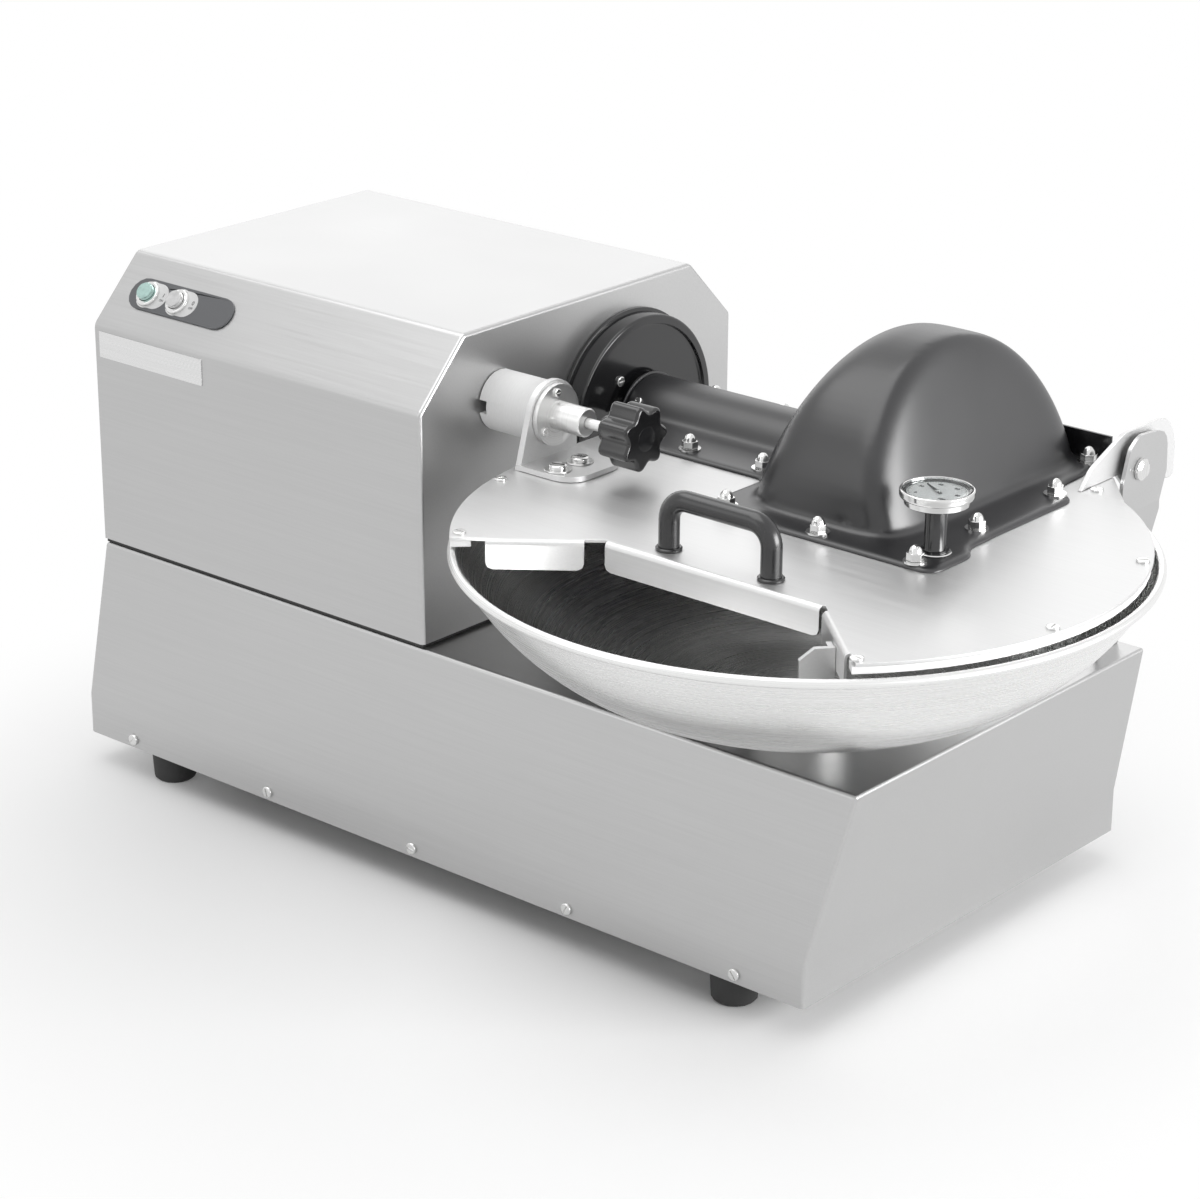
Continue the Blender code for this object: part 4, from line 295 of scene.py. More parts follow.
def moulded_finish(name, colour, roughness, grain=1500.0, depth=0.00004):
    """Moulded plastic or rubber: a fine grain, with slight wear in the gloss."""
    paint = Paint(name, colour, roughness, 0.0, [("Specular IOR Level", 0.8)])
    pores = paint.noise(paint.place(), grain, 2.0)
    worn = paint.noise(paint.place(), 14.0, 3.0)
    paint.fill("Base Color", paint.blend(worn, shade_of(colour, 0.85), shade_of(colour, 1.25)))
    paint.fill("Roughness", (worn - 0.5) * 0.14 + (pores - 0.5) * 0.08 + roughness)
    paint.relief(pores, depth, 0.5)
    return paint.material


def turned_black(colour, axis):
    """Glossy black disc with turning marks round its middle."""
    paint = Paint("black_disc", colour, 0.15, 0.0, [("Specular IOR Level", 0.7)])
    radius = paint.distance(paint.place((0.0, 1.0, 1.0), axis))
    feed = paint.noise(paint.node("ShaderNodeCombineXYZ", {}, {0: radius * 1200.0}), 1.0, 3.0)
    worn = paint.noise(paint.place(), 14.0, 3.0)
    paint.fill("Base Color", paint.blend(worn, shade_of(colour, 0.85), shade_of(colour, 1.3)))
    paint.fill("Roughness", (feed - 0.5) * 0.10 + (worn - 0.5) * 0.08 + 0.15)
    paint.relief(feed, 0.00002, 0.4)
    return paint.material


def panel_finish(colours):
    """Dark label foil, with a chrome collar round each button."""
    collar_radius = 0.0121
    paint = Paint("button_panel", colours.panel, 0.4, 0.0)
    collars = None
    for x in BUTTON_X:
        away = paint.distance(paint.place((1, 1, 1), chamfer(x, 0.0).translation))
        near = paint.node("ShaderNodeMath", {"operation": 'LESS_THAN'}, {0: away, 1: collar_radius})
        collars = near if collars is None else collars + near
    grain = paint.noise(paint.place(), 1200.0)
    paint.fill("Base Color", paint.blend(collars, colours.panel, colours.polished))
    paint.fill("Metallic", collars)
    paint.fill("Roughness", 0.42 - collars * 0.26 + (grain - 0.5) * 0.06)
    paint.relief(grain, 0.00002, 0.3)
    return paint.material


def cap_finish(name, colour):
    """Metallic button cap: a faint cloudy grain under a clear gloss."""
    paint = Paint(name, colour, 0.18, 0.7, [("Coat Weight", 0.6)])
    cloud = paint.noise(paint.place(), 260.0, 3.0)
    paint.fill("Base Color", paint.blend(cloud, shade_of(colour, 0.75), shade_of(colour, 1.3)))
    paint.relief(cloud, 0.00004, 0.3)
    return paint.material


def lens_finish():
    """Clear window of the thermometer, with faint wipe marks."""
    paint = Paint("dial_window", (0.95, 0.97, 0.97), 0.04, 0.0,
                  [("Transmission Weight", 1.0), ("IOR", 1.45)])
    wipe = paint.noise(paint.place((30, 300, 1)), 1.0, 3.0)
    paint.fill("Roughness", wipe * 0.05 + 0.02)
    return paint.material


class CUTTER_OT_finishes(bpy.types.Operator):
    """Make each finish once, for the pieces to share"""

    bl_idname = "cutter.finishes"
    bl_label = "Finishes"

    def execute(self, context):
        colours = context.scene.cutter_colours
        along_sheet, across_blade = (10, 700, 700), (700, 12, 700)
        bowl_axis = at(0.2831, -0.0944, 0)
        stem_axis = at(0.379, -0.0744, 0)
        lock_axis = at(0, LOCK_Y, LOCK_Z)
        shaft_axis = at(0, TUBE_Y, TUBE_Z)
        black = colours.moulding
        FINISHES.update(
            sheet=sheet_finish("satin_sheet", colours.sheet, along_sheet, 0.34),
            # The lid's sheet is the housing's satin sheet painted 1.3 times lighter: painted light
            # for the brightness the lid shows.
            sheet_lid=sheet_finish("satin_lid_painted_lighter", shade_of(colours.sheet, 1.30), along_sheet, 0.46),
            bowl=turned_finish("spun_bowl", colours.bowl, bowl_axis, 2, 0.27, 900.0),
            polished=turned_finish("polished_steel", colours.polished, lock_axis, 0, 0.16, 1500.0),
            stem=turned_finish("turned_stem", colours.polished, stem_axis, 2, 0.14, 2500.0),
            blade=sheet_finish("ground_blade", colours.polished, across_blade, 0.20),
            nylon=turned_finish("white_turned", colours.nylon, lock_axis, 0, 0.42, 1500.0, 0.0),
            seal=moulded_finish("white_seal", colours.nylon, 0.45),
            moulding=moulded_finish("black_moulding", black, 0.24),
            # The cover's black is the moulding's black painted 1.5 times lighter: painted sheen for
            # the dome's soft highlights.
            cover=moulded_finish("satin_moulding_painted_sheen", shade_of(black, 1.5), 0.33),
            knob=moulded_finish("knob_moulding", shade_of(black, 0.6), 0.17),
            gloss=moulded_finish("black_gloss", black, 0.12),
            disc=turned_black(black, shaft_axis),
            rubber=moulded_finish("black_rubber", colours.rubber, 0.75, 900.0, 0.0001),
            casting=moulded_finish("grey_casting", colours.casting, 0.55, 500.0, 0.0003),
            panel=panel_finish(colours),
            start=cap_finish("start_cap", colours.start),
            stop=cap_finish("stop_cap", colours.stop),
            label=moulded_finish("button_label", colours.label, 0.4),
            print=moulded_finish("dark_print", black, 0.5),
            plate=sheet_finish("bare_plate", shade_of(colours.sheet, 1.4), along_sheet, 0.26),
            satin=turned_finish("satin_turned", colours.polished, lock_axis, 0, 0.30, 1500.0),
            lens=lens_finish())
        FINISHES["hub"] = FINISHES["bowl"]
        return {'FINISHED'}


def object_from(name, bm):
    """A new object in the scene from a bmesh, which is freed."""
    mesh = bpy.data.meshes.new(name)
    bm.to_mesh(mesh)
    bm.free()
    obj = bpy.data.objects.new(name, mesh)
    bpy.context.scene.collection.objects.link(obj)
    return obj


def piece(name, bm, body, finish, replaced=(), **looks):
    """A finished piece from a bmesh: shaded, painted and riding on its body."""
    return finished(object_from(name, bm), body, finish, replaced, **looks)


def finished(obj, body, finish, replaced=(), smooth=CREASE, edge=0.0, weighted=True):
    """Shade, edge and paint an object, and tie it to its body and replaced nodes."""
    obj.data.shade_smooth()
    obj.data.set_sharp_from_angle(angle=math.radians(smooth))
    obj.data.materials.clear()
    obj.data.materials.append(FINISHES[finish])
    if edge:
        bevel = obj.modifiers.new("cut_edges", 'BEVEL')
        bevel.width = edge
        bevel.segments = 2
        bevel.limit_method = 'ANGLE'
        bevel.angle_limit = math.radians(smooth)
    if weighted:
        normals = obj.modifiers.new("even_shading", 'WEIGHTED_NORMAL')
        normals.keep_sharp = True
    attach(obj, body)
    if replaced:
        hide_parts(*replaced)
    return obj


def carried(node, finish, edge, smooth):
    """The frame's own solid with joined faces, rounded cut edges and its finish."""
    bm = bmesh.new()
    bm.from_mesh(frame["nodes"][node].data)
    bmesh.ops.remove_doubles(bm, verts=bm.verts, dist=SMALLEST_STEP)
    bmesh.ops.dissolve_limit(bm, angle_limit=math.radians(0.5), verts=bm.verts, edges=bm.edges)
    return piece(node + "_finished", bm, frame["nodes"][node]["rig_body"], finish, (node,),
                 smooth=smooth, edge=edge)


def spun(profile, steps, closed=False):
    """A profile of (radius, height) spun about Z."""
    bm = bmesh.new()
    verts = [bm.verts.new((radius, 0, height)) for radius, height in profile]
    edges = [bm.edges.new(pair) for pair in zip(verts, verts[1:])]
    if closed:
        edges.append(bm.edges.new((verts[-1], verts[0])))
    bmesh.ops.spin(bm, geom=verts + edges, cent=(0, 0, 0), axis=(0, 0, 1), angle=2 * math.pi,
                   steps=steps, use_merge=True, use_duplicate=False)
    bmesh.ops.remove_doubles(bm, verts=bm.verts, dist=SMALLEST_STEP)
    bmesh.ops.recalc_face_normals(bm, faces=bm.faces)
    return bm


def arc(centre, radius, start, end, steps):
    """Points along an arc, between two angles in degrees."""
    for step in range(steps + 1):
        angle = math.radians(start + (end - start) * step / steps)
        yield (centre[0] + radius * math.cos(angle), centre[1] + radius * math.sin(angle))


def moved(bm, point, turn=UPRIGHT):
    """Turn a bmesh, then carry it to a point."""
    bmesh.ops.transform(bm, matrix=Matrix.Translation(point) @ turn, verts=bm.verts)
    return bm


def added(bm, shape, places=(UPRIGHT,)):
    """Put another bmesh's shape into this one, at each place; places are matrices."""
    mesh = bpy.data.meshes.new("stamp")
    shape.to_mesh(mesh)
    shape.free()
    for matrix in places:
        before = len(bm.verts)
        bm.from_mesh(mesh)
        bm.verts.ensure_lookup_table()
        bmesh.ops.transform(bm, matrix=matrix, verts=bm.verts[before:])
    bpy.data.meshes.remove(mesh)
    return bm


def stamped(shape, places):
    """Many copies of one small shape in one bmesh."""
    return added(bmesh.new(), shape, places)


def only(items, kind):
    """The vertices alone, or the edges alone, of what a bmesh operator gives."""
    return [item for item in items if isinstance(item, kind)]


def prism(outline, low, high):
    """An outline in XY given a height."""
    bm = bmesh.new()
    face = bm.faces.new([bm.verts.new((x, y, low)) for x, y in outline])
    made = bmesh.ops.extrude_face_region(bm, geom=[face], use_keep_orig=True)
    bmesh.ops.translate(bm, vec=(0, 0, high - low), verts=only(made["geom"], BMVert))
    bmesh.ops.recalc_face_normals(bm, faces=bm.faces)
    return bm


def levelled(bm, height):
    """Cut away what hangs below a height and close the cut."""
    made = bmesh.ops.bisect_plane(bm, geom=bm.verts[:] + bm.edges[:] + bm.faces[:],
                                  plane_co=(0, 0, height), plane_no=(0, 0, -1), clear_outer=True)
    bmesh.ops.holes_fill(bm, edges=only(made["geom_cut"], BMEdge))
    bmesh.ops.recalc_face_normals(bm, faces=bm.faces)
    return bm


def ring_of(count, radius, first, x, y, z):
    """Places facing along X, spaced evenly round a centre from a first angle in degrees."""
    turns = [math.radians(first + 360 / count * index) for index in range(count)]
    return [Matrix.Translation((x, y + radius * math.cos(turn), z + radius * math.sin(turn)))
            @ ALONG_X for turn in turns]


def slotted_head(radius, height):
    """Pan head with a driver slot."""
    bm = bmesh.new()
    bmesh.ops.create_cone(bm, cap_ends=True, segments=24, radius1=radius, radius2=radius,
                          depth=height)
    bmesh.ops.translate(bm, vec=(0, 0, height / 2), verts=bm.verts)
    rim = [edge for edge in bm.edges if all(vert.co.z > height * 0.9 for vert in edge.verts)]
    bmesh.ops.bevel(bm, geom=rim, offset=height * 0.45, segments=3, profile=0.5,
                    affect='EDGES', material=-1)
    top = max(bm.faces, key=lambda face: face.calc_center_median().z)
    bmesh.ops.inset_region(bm, faces=[top], thickness=radius * 0.06)
    half = radius * 0.13
    for side in (-1, 1):
        faces = [face for face in bm.faces
                 if all(vert.co.z > height - SMALLEST_STEP for vert in face.verts)
                 and face.calc_area() > radius * radius * 0.3]
        around = {item for face in faces for item in (*face.verts, *face.edges, face)}
        bmesh.ops.bisect_plane(bm, geom=list(around), plane_co=(0, side * half, 0),
                               plane_no=(0, 1, 0))
    strip = [face for face in bm.faces if face.normal.z > 0.9
             and abs(face.calc_center_median().y) < half * 0.5
             and face.calc_center_median().z > height * 0.95]
    made = bmesh.ops.extrude_face_region(bm, geom=strip)
    sunk = only(made["geom"], BMVert)
    bmesh.ops.delete(bm, geom=strip, context='FACES_ONLY')
    bmesh.ops.translate(bm, vec=(0, 0, -height * 0.5), verts=sunk)
    bmesh.ops.recalc_face_normals(bm, faces=bm.faces)
    return bm


def cap_nut(height):
    """Domed hexagon nut on a flat washer."""
    washer_radius, washer_depth = 0.0085, 0.0014
    nut_radius, nut_depth, nut_foot = 0.0064, 0.0055, 0.0015
    dome_radius, shoulder = 0.0048, 0.0070
    bm = bmesh.new()
    bmesh.ops.create_cone(bm, cap_ends=True, segments=32, radius1=washer_radius,
                          radius2=washer_radius, depth=washer_depth)
    bmesh.ops.translate(bm, vec=(0, 0, washer_depth / 2), verts=bm.verts)
    hexagon = bmesh.new()
    bmesh.ops.create_cone(hexagon, cap_ends=True, segments=6, radius1=nut_radius,
                          radius2=nut_radius, depth=nut_depth)
    bmesh.ops.translate(hexagon, vec=(0, 0, nut_foot + nut_depth / 2), verts=hexagon.verts)
    bmesh.ops.bevel(hexagon, geom=hexagon.edges[:], offset=0.0003, segments=2, profile=0.5,
                    affect='EDGES', material=-1)
    added(bm, hexagon)
    rise = height - shoulder
    crown = [(dome_radius * math.sin(angle), shoulder + rise * math.cos(angle))
             for angle in (0.3, 0.6, 0.9, 1.2, 1.45)]
    return added(bm, spun([(0, height)] + crown + [(0.0050, 0.0069), (0, 0.0069)], 20))


class CUTTER_OT_finish_frame(bpy.types.Operator):
    """Give the frame's own sheet, castings and small parts their finishes"""

    bl_idname = "cutter.finish_frame"
    bl_label = "Finish the Frame"

    # Finish, whether cut edges are rounded, and nodes.
    surfaces = (
        ("sheet", False,
         ("base_shell", "housing_shell", "base_tray", "housing_end_panel", "hinge_post_left",
          "hinge_post_right")),
        # The lid pieces take the satin sheet painted lighter, as painted light.
        ("sheet_lid", True,
         ("lid_plate", "hinge_ear_left", "hinge_ear_right", "lock_bracket", "scraper_plate")),
        ("polished", False,
         ("hinge_pin_left", "hinge_pin_right", "knife_bearing_front", "knife_bearing_rear",
          "knife_shaft", "knife_spacer_1", "knife_spacer_2", "knife_clamp_nut", "motor_shaft",
          "worm_shaft", "lock_pin")),
        ("satin", False, ("lock_flange", "lock_spindle")),
        ("stem", False, ("bowl_spindle",)),
        ("gloss", False, ("thermometer_stem",)),
        ("blade", False, ("knife_1", "knife_2", "knife_3")),
        ("hub", False, ("bowl_hub",)),
        ("moulding", False, ("rear_upstand", "thermometer_pointer", "cable_gland")),
        ("rubber", False,
         ("foot_front_left", "foot_front_right", "foot_rear_left", "foot_rear_right",
          "housing_seal", "knife_belt", "bowl_belt")),
        ("nylon", True, ("lock_block",)),
        ("seal", False, ("lid_seal_left", "lid_seal_right", "thermometer_dial")),
        ("casting", False,
         ("motor_body", "knife_bearing_tube", "gearbox_case", "knife_pulley", "motor_pulley",
          "worm_pulley")),
        ("panel", True, ("control_panel",)),
        ("start", False, ("start_button",)),
        ("stop", False, ("stop_button",)),
        ("lens", False, ("thermometer_lens",)))

    def execute(self, context):
        edge = context.scene.cutter_sizes.edge_round
        for finish, rounded, nodes in self.surfaces:
            for node in nodes:
                carried(node, finish, edge if rounded else 0.0,
                        BLADE_CREASE if finish == "blade" else CREASE)
        return {'FINISHED'}


class CUTTER_OT_bowl(bpy.types.Operator):
    """Spin the bowl: flat floor, long curved wall and rolled bead"""

    bl_idname = "cutter.bowl"
    bl_label = "Bowl"

    def execute(self, context):
        sizes = context.scene.cutter_sizes
        low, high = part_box("bowl")
        rim = (high.x - low.x) / 2
        bead, wall, flat, gap = sizes.bead, 0.0025, 0.070, 0.02
        reach, rise = rim - bead - flat, high.z - bead - low.z
        radius = (reach ** 2 + rise ** 2) / (2 * rise)
        last = math.degrees(math.asin(reach / radius) - gap)
        middle = (flat, low.z + radius)
        profile = [(0, low.z + wall), *arc(middle, radius - wall, -90, last - 90, 28)]
        profile += arc((rim - bead, high.z - bead), bead, 192, -68, 14)
        profile += [*arc(middle, radius, last - 90, -90, 28), (0, low.z)]
        bm = moved(spun(profile, sizes.bowl_rings),
                   ((low.x + high.x) / 2, (low.y + high.y) / 2, 0))
        piece("bowl_spun", bm, "bowl_set", "bowl", ("bowl",))
        return {'FINISHED'}


class CUTTER_OT_knife_cover(bpy.types.Operator):
    """Mould the knife cover: flange, half tube and dome that flow into each other"""

    bl_idname = "cutter.knife_cover"
    bl_label = "Knife Cover"

    flange = ((0.040, -0.028, 0.006), (0.194, -0.028, 0.006), (0.194, -0.107, 0.014),
              (0.4005, -0.107, 0.013), (0.4005, -0.060, 0.006), (0.389, -0.046, 0.006),
              (0.3885, 0.082, 0.006), (0.365, 0.104, 0.006), (0.360, 0.1695, 0.008),
              (0.203, 0.1695, 0.008), (0.200, 0.1035, 0.006), (0.040, 0.1035, 0.006))

    # The dome's foot, half its width, and its height.
    dome_place, dome_width, dome_height = (0.2867, 0.0443, COVER_LOW), 0.1244, 0.1147
    right_end, left_end = (0.0605, 0.66, 6.2), (0.0828, 0.38, 5.0)  # reach, lean, squareness
    dome_wall = 0.0022

    def dome(self, shrink):
        """Elliptic arch over the knives; its squarish ends lean inwards as they rise."""
        bm = bmesh.new()
        bmesh.ops.create_uvsphere(bm, u_segments=88, v_segments=64, radius=1.0)
        wide, high = self.dome_width - shrink, self.dome_height - shrink
        for vert in bm.verts:
            along, across, up = vert.co.z, vert.co.x, vert.co.y
            reach, lean, power = self.right_end if along > 0 else self.left_end
            girth = math.hypot(across, up)
            swell = girth ** (2 / power - 1) if girth > SMALLEST_STEP else 0.0
            across, up = across * swell, up * swell
            end = math.copysign(abs(along) ** (2 / power), along) * (reach - shrink)
            vert.co = (end * (1 - lean * abs(up)), across * wide, up * high)
        bmesh.ops.recalc_face_normals(bm, faces=bm.faces)
        if bm.calc_volume(signed=True) < 0:
            bmesh.ops.reverse_faces(bm, faces=bm.faces)
        return moved(bm, at(*self.dome_place))

    def tube(self, radius, left, right):
        """Round bar on the half tube's axis, between two X places."""
        bm = bmesh.new()
        bmesh.ops.create_cone(bm, cap_ends=True, segments=72, radius1=radius, radius2=radius,
                              depth=right - left)
        return moved(bm, at((left + right) / 2, TUBE_Y, TUBE_Z), ALONG_X)

    def shaped(self, bm, tools, operation, grain=0.0):
        """The mesh joined with or cut by each tool, and remeshed where a grain is given."""
        obj = object_from("cover_form", bm)
        tools = [object_from("cover_tool", tool) for tool in tools]
        for tool in tools:
            step = obj.modifiers.new("shape", 'BOOLEAN')
            step.operation, step.object = operation, tool
        if grain:
            step = obj.modifiers.new("grain", 'REMESH')
            step.mode, step.voxel_size = 'VOXEL', grain
        made = bmesh.new()
        made.from_object(obj, bpy.context.evaluated_depsgraph_get())
        for used in (obj, *tools):
            bpy.data.objects.remove(used)
        return made

    def plate(self):
        """The flange, deep enough to be cut level, with its corners rounded."""
        corners = [(*at(x, y, 0).xy, radius) for x, y, radius in self.flange]
        bm = prism([(x, y) for x, y, _ in corners], COVER_LOW - 0.012, COVER_TOP)
        for x, y, radius in corners:
            corner = Vector((x, y))
            upright = [edge for edge in bm.edges
                       if all((vert.co.xy - corner).length < 0.0001 for vert in edge.verts)]
            bmesh.ops.bevel(bm, geom=upright, offset=radius, segments=5, profile=0.5,
                            affect='EDGES', material=-1)
        return bm

    def execute(self, context):
        tube_left, tube_right, tube_wall, bore_left, bore_right = 0.0135, 0.264, 0.003, 0.003, 0.284
        seam_low, seam_high = COVER_TOP - 0.0045, COVER_TOP + 0.014
        bm = self.shaped(self.plate(),
                         [self.dome(0.0), self.tube(TUBE_RADIUS, tube_left, tube_right)],
                         'UNION', context.scene.cutter_sizes.cover_grain)
        seam = [vert for vert in bm.verts if seam_low < vert.co.z < seam_high]
        for verts, passes in ((seam, 7), (bm.verts, 3)):
            for _ in range(passes):
                bmesh.ops.smooth_vert(bm, verts=verts, factor=0.5, use_axis_x=True,
                                      use_axis_y=True, use_axis_z=True)
        bm = self.shaped(levelled(bm, COVER_LOW),
                         [self.dome(self.dome_wall),
                          self.tube(TUBE_RADIUS - tube_wall, bore_left, bore_right)],
                         'DIFFERENCE')
        piece("knife_cover_moulded", bm, "lid", "cover", ("knife_cover",), smooth=50.0,
              weighted=False)
        lip = [(0.0351, 0.0), *arc((0.0358, 0.0012), 0.0012, -60, 60, 6), (0.0351, 0.0024)]
        ring = moved(spun(lip, 72, True), at(0.0140, TUBE_Y, TUBE_Z), ALONG_X)
        piece("tube_lip", levelled(ring, COVER_LOW), "lid", "cover")
        return {'FINISHED'}


class CUTTER_OT_shaft_disc(bpy.types.Operator):
    """Spin the lipped black disc on the housing and set its small screws"""

    bl_idname = "cutter.shaft_disc"
    bl_label = "Shaft Disc"

    def execute(self, context):
        low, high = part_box("shaft_disc")
        centre = Vector((low.x, (low.y + high.y) / 2, (low.z + high.z) / 2))
        depth, recess = high.x - low.x, 0.003
        profile = [(0.0135, 0.0), (0.0135, depth - recess), (0.071, depth - recess),
                   (0.0725, depth - 0.0026), (0.0735, depth)]
        profile += arc((0.0781, depth - 0.0022), 0.0022, 90, 0, 6)
        profile += [(0.0803, 0.0035)]
        profile += arc((0.0825, 0.0025), 0.0005, 90, 0, 3)
        profile += [(0.083, 0.0)]
        bm = moved(spun(profile, 128, True), centre, ALONG_X)
        piece("shaft_disc_turned", bm, "frame", "disc", ("shaft_disc",))
        collar = spun([(0.0104, 0.0), (0.0104, 0.0055), (0.0185, 0.0055), (0.0200, 0.004),
                       (0.0200, 0.0)], 48, True)
        collar = moved(collar, (high.x - recess, centre.y, at(0, 0, SHAFT_Z).z), ALONG_X)
        piece("shaft_seal", collar, "frame", "rubber")
        places = ring_of(3, 0.0437, 9, high.x - recess, centre.y, centre.z)
        piece("disc_screws", stamped(slotted_head(0.0042, 0.002), places), "frame", "polished")
        return {'FINISHED'}


class CUTTER_OT_handle(bpy.types.Operator):
    """Sweep the lid handle's bar through its two bends"""

    bl_idname = "cutter.handle"
    bl_label = "Lid Handle"

    def execute(self, context):
        radius = context.scene.cutter_sizes.handle_radius
        low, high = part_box("lid_handle")
        y = (low.y + high.y) / 2
        left, right = low.x + radius, high.x - radius
        corner, top = 0.016, high.z - radius
        bm = bmesh.new()
        bmesh.ops.create_circle(bm, cap_ends=False, segments=28, radius=radius)
        moved(bm, (left, y, low.z))
        front = bm.edges[:]

        def straight(edges, step):
            """Draw the bar on by one straight step; its new end's edges."""
            made = bmesh.ops.extrude_edge_only(bm, edges=edges)["geom"]
            bmesh.ops.translate(bm, vec=step, verts=only(made, BMVert))
            return only(made, BMEdge)

        def bent(edges, centre):
            """Turn the bar through a right angle; its new end's edges."""
            verts = list({vert for edge in edges for vert in edge.verts})
            made = bmesh.ops.spin(bm, geom=verts + edges, cent=centre, axis=(0, 1, 0),
                                  angle=math.pi / 2, steps=10)
            return only(made["geom_last"], BMEdge)

        front = straight(front, (0, 0, top - corner - low.z))
        front = bent(front, (left + corner, y, top - corner))
        front = straight(front, (right - left - 2 * corner, 0, 0))
        front = bent(front, (right - corner, y, top - corner))
        straight(front, (0, 0, low.z - top + corner))
        bmesh.ops.holes_fill(bm, edges=[edge for edge in bm.edges if edge.is_boundary])
        bmesh.ops.remove_doubles(bm, verts=bm.verts, dist=SMALLEST_STEP)
        bmesh.ops.recalc_face_normals(bm, faces=bm.faces)
        piece("lid_handle_bent", bm, "lid", "moulding", ("lid_handle",))
        shoe = spun([(0, 0.0022), (radius + 0.0012, 0.0022), (radius + 0.002, 0.0014),
                     (radius + 0.002, 0), (0, 0)], 32)
        places = [Matrix.Translation((x, y, low.z)) for x in (left, right)]
        piece("handle_shoes", stamped(shoe, places), "lid", "moulding")
        return {'FINISHED'}


class CUTTER_OT_star_knob(bpy.types.Operator):
    """Extrude and round the lobed knob, with its hub and end cap"""

    bl_idname = "cutter.star_knob"
    bl_label = "Star Knob"

    def execute(self, context):
        lobes = context.scene.cutter_sizes.knob_lobes
        low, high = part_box("star_knob")
        centre = at(0, LOCK_Y, LOCK_Z)
        tip, dip, hub_length = 0.025, 0.0028, 0.010
        outline = []
        for step in range(lobes * 16):
            angle = 2 * math.pi * step / (lobes * 16)
            radius = tip - dip * (1 - math.cos(lobes * angle))
            outline.append((radius * math.cos(angle), radius * math.sin(angle)))
        start, end = low.x + hub_length, high.x
        bm = prism(outline, 0.0, end - start)
        ends = [edge for edge in bm.edges
                if abs(edge.verts[0].co.z - edge.verts[1].co.z) < SMALLEST_STEP]
        bmesh.ops.bevel(bm, geom=ends, offset=0.0032, segments=4, profile=0.5, affect='EDGES',
                        material=-1)
        moved(bm, (start, centre.y, centre.z), ALONG_X)
        piece("star_knob_moulded", bm, "lock_knob", "knob", ("star_knob",))
        hub = spun([(0, 0), (0.0098, 0), (0.0100, 0.0006), (0.0112, 0.0108), (0, 0.0108)], 40)
        moved(hub, (low.x, centre.y, centre.z), ALONG_X)
        piece("knob_hub", hub, "lock_knob", "moulding")
        cap = spun([(0, 0.0003), (0.0085, 0.0003), (0.0092, 0.0), (0.0092, -0.001),
                    (0, -0.001)], 40)
        moved(cap, (end, centre.y, centre.z), ALONG_X)
        piece("knob_cap", cap, "lock_knob", "disc")
        return {'FINISHED'}


class CUTTER_OT_fasteners(bpy.types.Operator):
    """Set the slotted screws, cap nuts and bolts"""

    bl_idname = "cutter.fasteners"
    bl_label = "Fasteners"

    nuts = ((0.2124, -0.0947), (0.2947, -0.0956), (0.3795, -0.0981), (0.3734, -0.0163),
            (0.3737, 0.0817), (0.3520, 0.1590), (0.2110, 0.1605), (0.0520, -0.0150),
            (0.1128, -0.0140), (0.1812, -0.0130), (0.0520, 0.0920), (0.1190, 0.0920),
            (0.1755, 0.0920))
    rim_angles = (222.2, 193.7, 63.1, 26.9, -9.0, -43.8)
    lock_bolts = ((0.073, -0.1172), (0.073, -0.0930))

    def upright(self, x, y, z, angle):
        """Place of a fastener that stands on the lid, turned by an angle in degrees."""
        return Matrix.Translation(at(x, y, z)) @ Matrix.Rotation(math.radians(angle), 4, 'Z')

    def execute(self, context):
        sizes = context.scene.cutter_sizes
        radius, height = sizes.screw_radius, sizes.screw_height
        skirt_y, skirt_z, skirt_middle, skirt_step = 0.1977, 0.0322, -0.0040, 0.1567
        skirt = []
        for side, facing, first, turn in ((-1, FACING_FRONT, 40, 67), (1, FACING_BACK, 15, 50)):
            for index in range(5):
                x = skirt_middle + (index - 2) * skirt_step
                angle = math.radians(first + turn * index)
                skirt.append(Matrix.Translation(at(x, side * skirt_y, skirt_z)) @ facing
                             @ Matrix.Rotation(angle, 4, 'Z'))
        piece("skirt_screws", stamped(slotted_head(radius, height), skirt), "frame", "polished")
        rim_x, rim_y, reach = 0.279, -0.0952, 0.238
        rim = [self.upright(rim_x + reach * math.cos(math.radians(degrees)),
                            rim_y + reach * math.sin(math.radians(degrees)), LID_TOP,
                            70 * index) for index, degrees in enumerate(self.rim_angles)]
        piece("rim_screws", stamped(slotted_head(radius, height * 0.7), rim), "lid", "polished")
        nuts = [self.upright(x, y, COVER_TOP - 0.0002, 37 * index)
                for index, (x, y) in enumerate(self.nuts)]
        piece("cover_nuts", stamped(cap_nut(sizes.nut_height), nuts), "lid", "polished")
        bolts = [self.upright(x, y, BRACKET_TOP, 20) for x, y in self.lock_bolts]
        washer = [(0.0040, 0.0), (0.0100, 0.0), (0.0104, 0.0004), (0.0101, 0.0011),
                  (0.0040, 0.0011)]
        piece("lock_washers", stamped(spun(washer, 40, True), bolts), "lid", "satin")
        bolts = [place @ Matrix.Translation((0, 0, 0.0012)) for place in bolts]
        piece("lock_bolts", stamped(slotted_head(0.0068, 0.0034), bolts), "lid", "polished")
        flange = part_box("lock_flange")[0].x + 0.004
        axis = at(0, LOCK_Y, LOCK_Z)
        screws = ring_of(3, 0.0175, 94, flange, axis.y, axis.z)
        piece("lock_flange_screws", stamped(slotted_head(0.0034, 0.0018), screws), "lid",
              "polished")
        outward = Vector((0, -0.0283, 0.0223)).normalized()
        spot = at(0.0273, TUBE_Y, TUBE_Z) + outward * (TUBE_RADIUS - 0.0001)
        place = Matrix.Translation(spot) @ outward.to_track_quat('Z', 'Y').to_matrix().to_4x4()
        piece("tube_screw", stamped(slotted_head(0.0034, 0.0018), [place]), "lid", "polished")
        return {'FINISHED'}


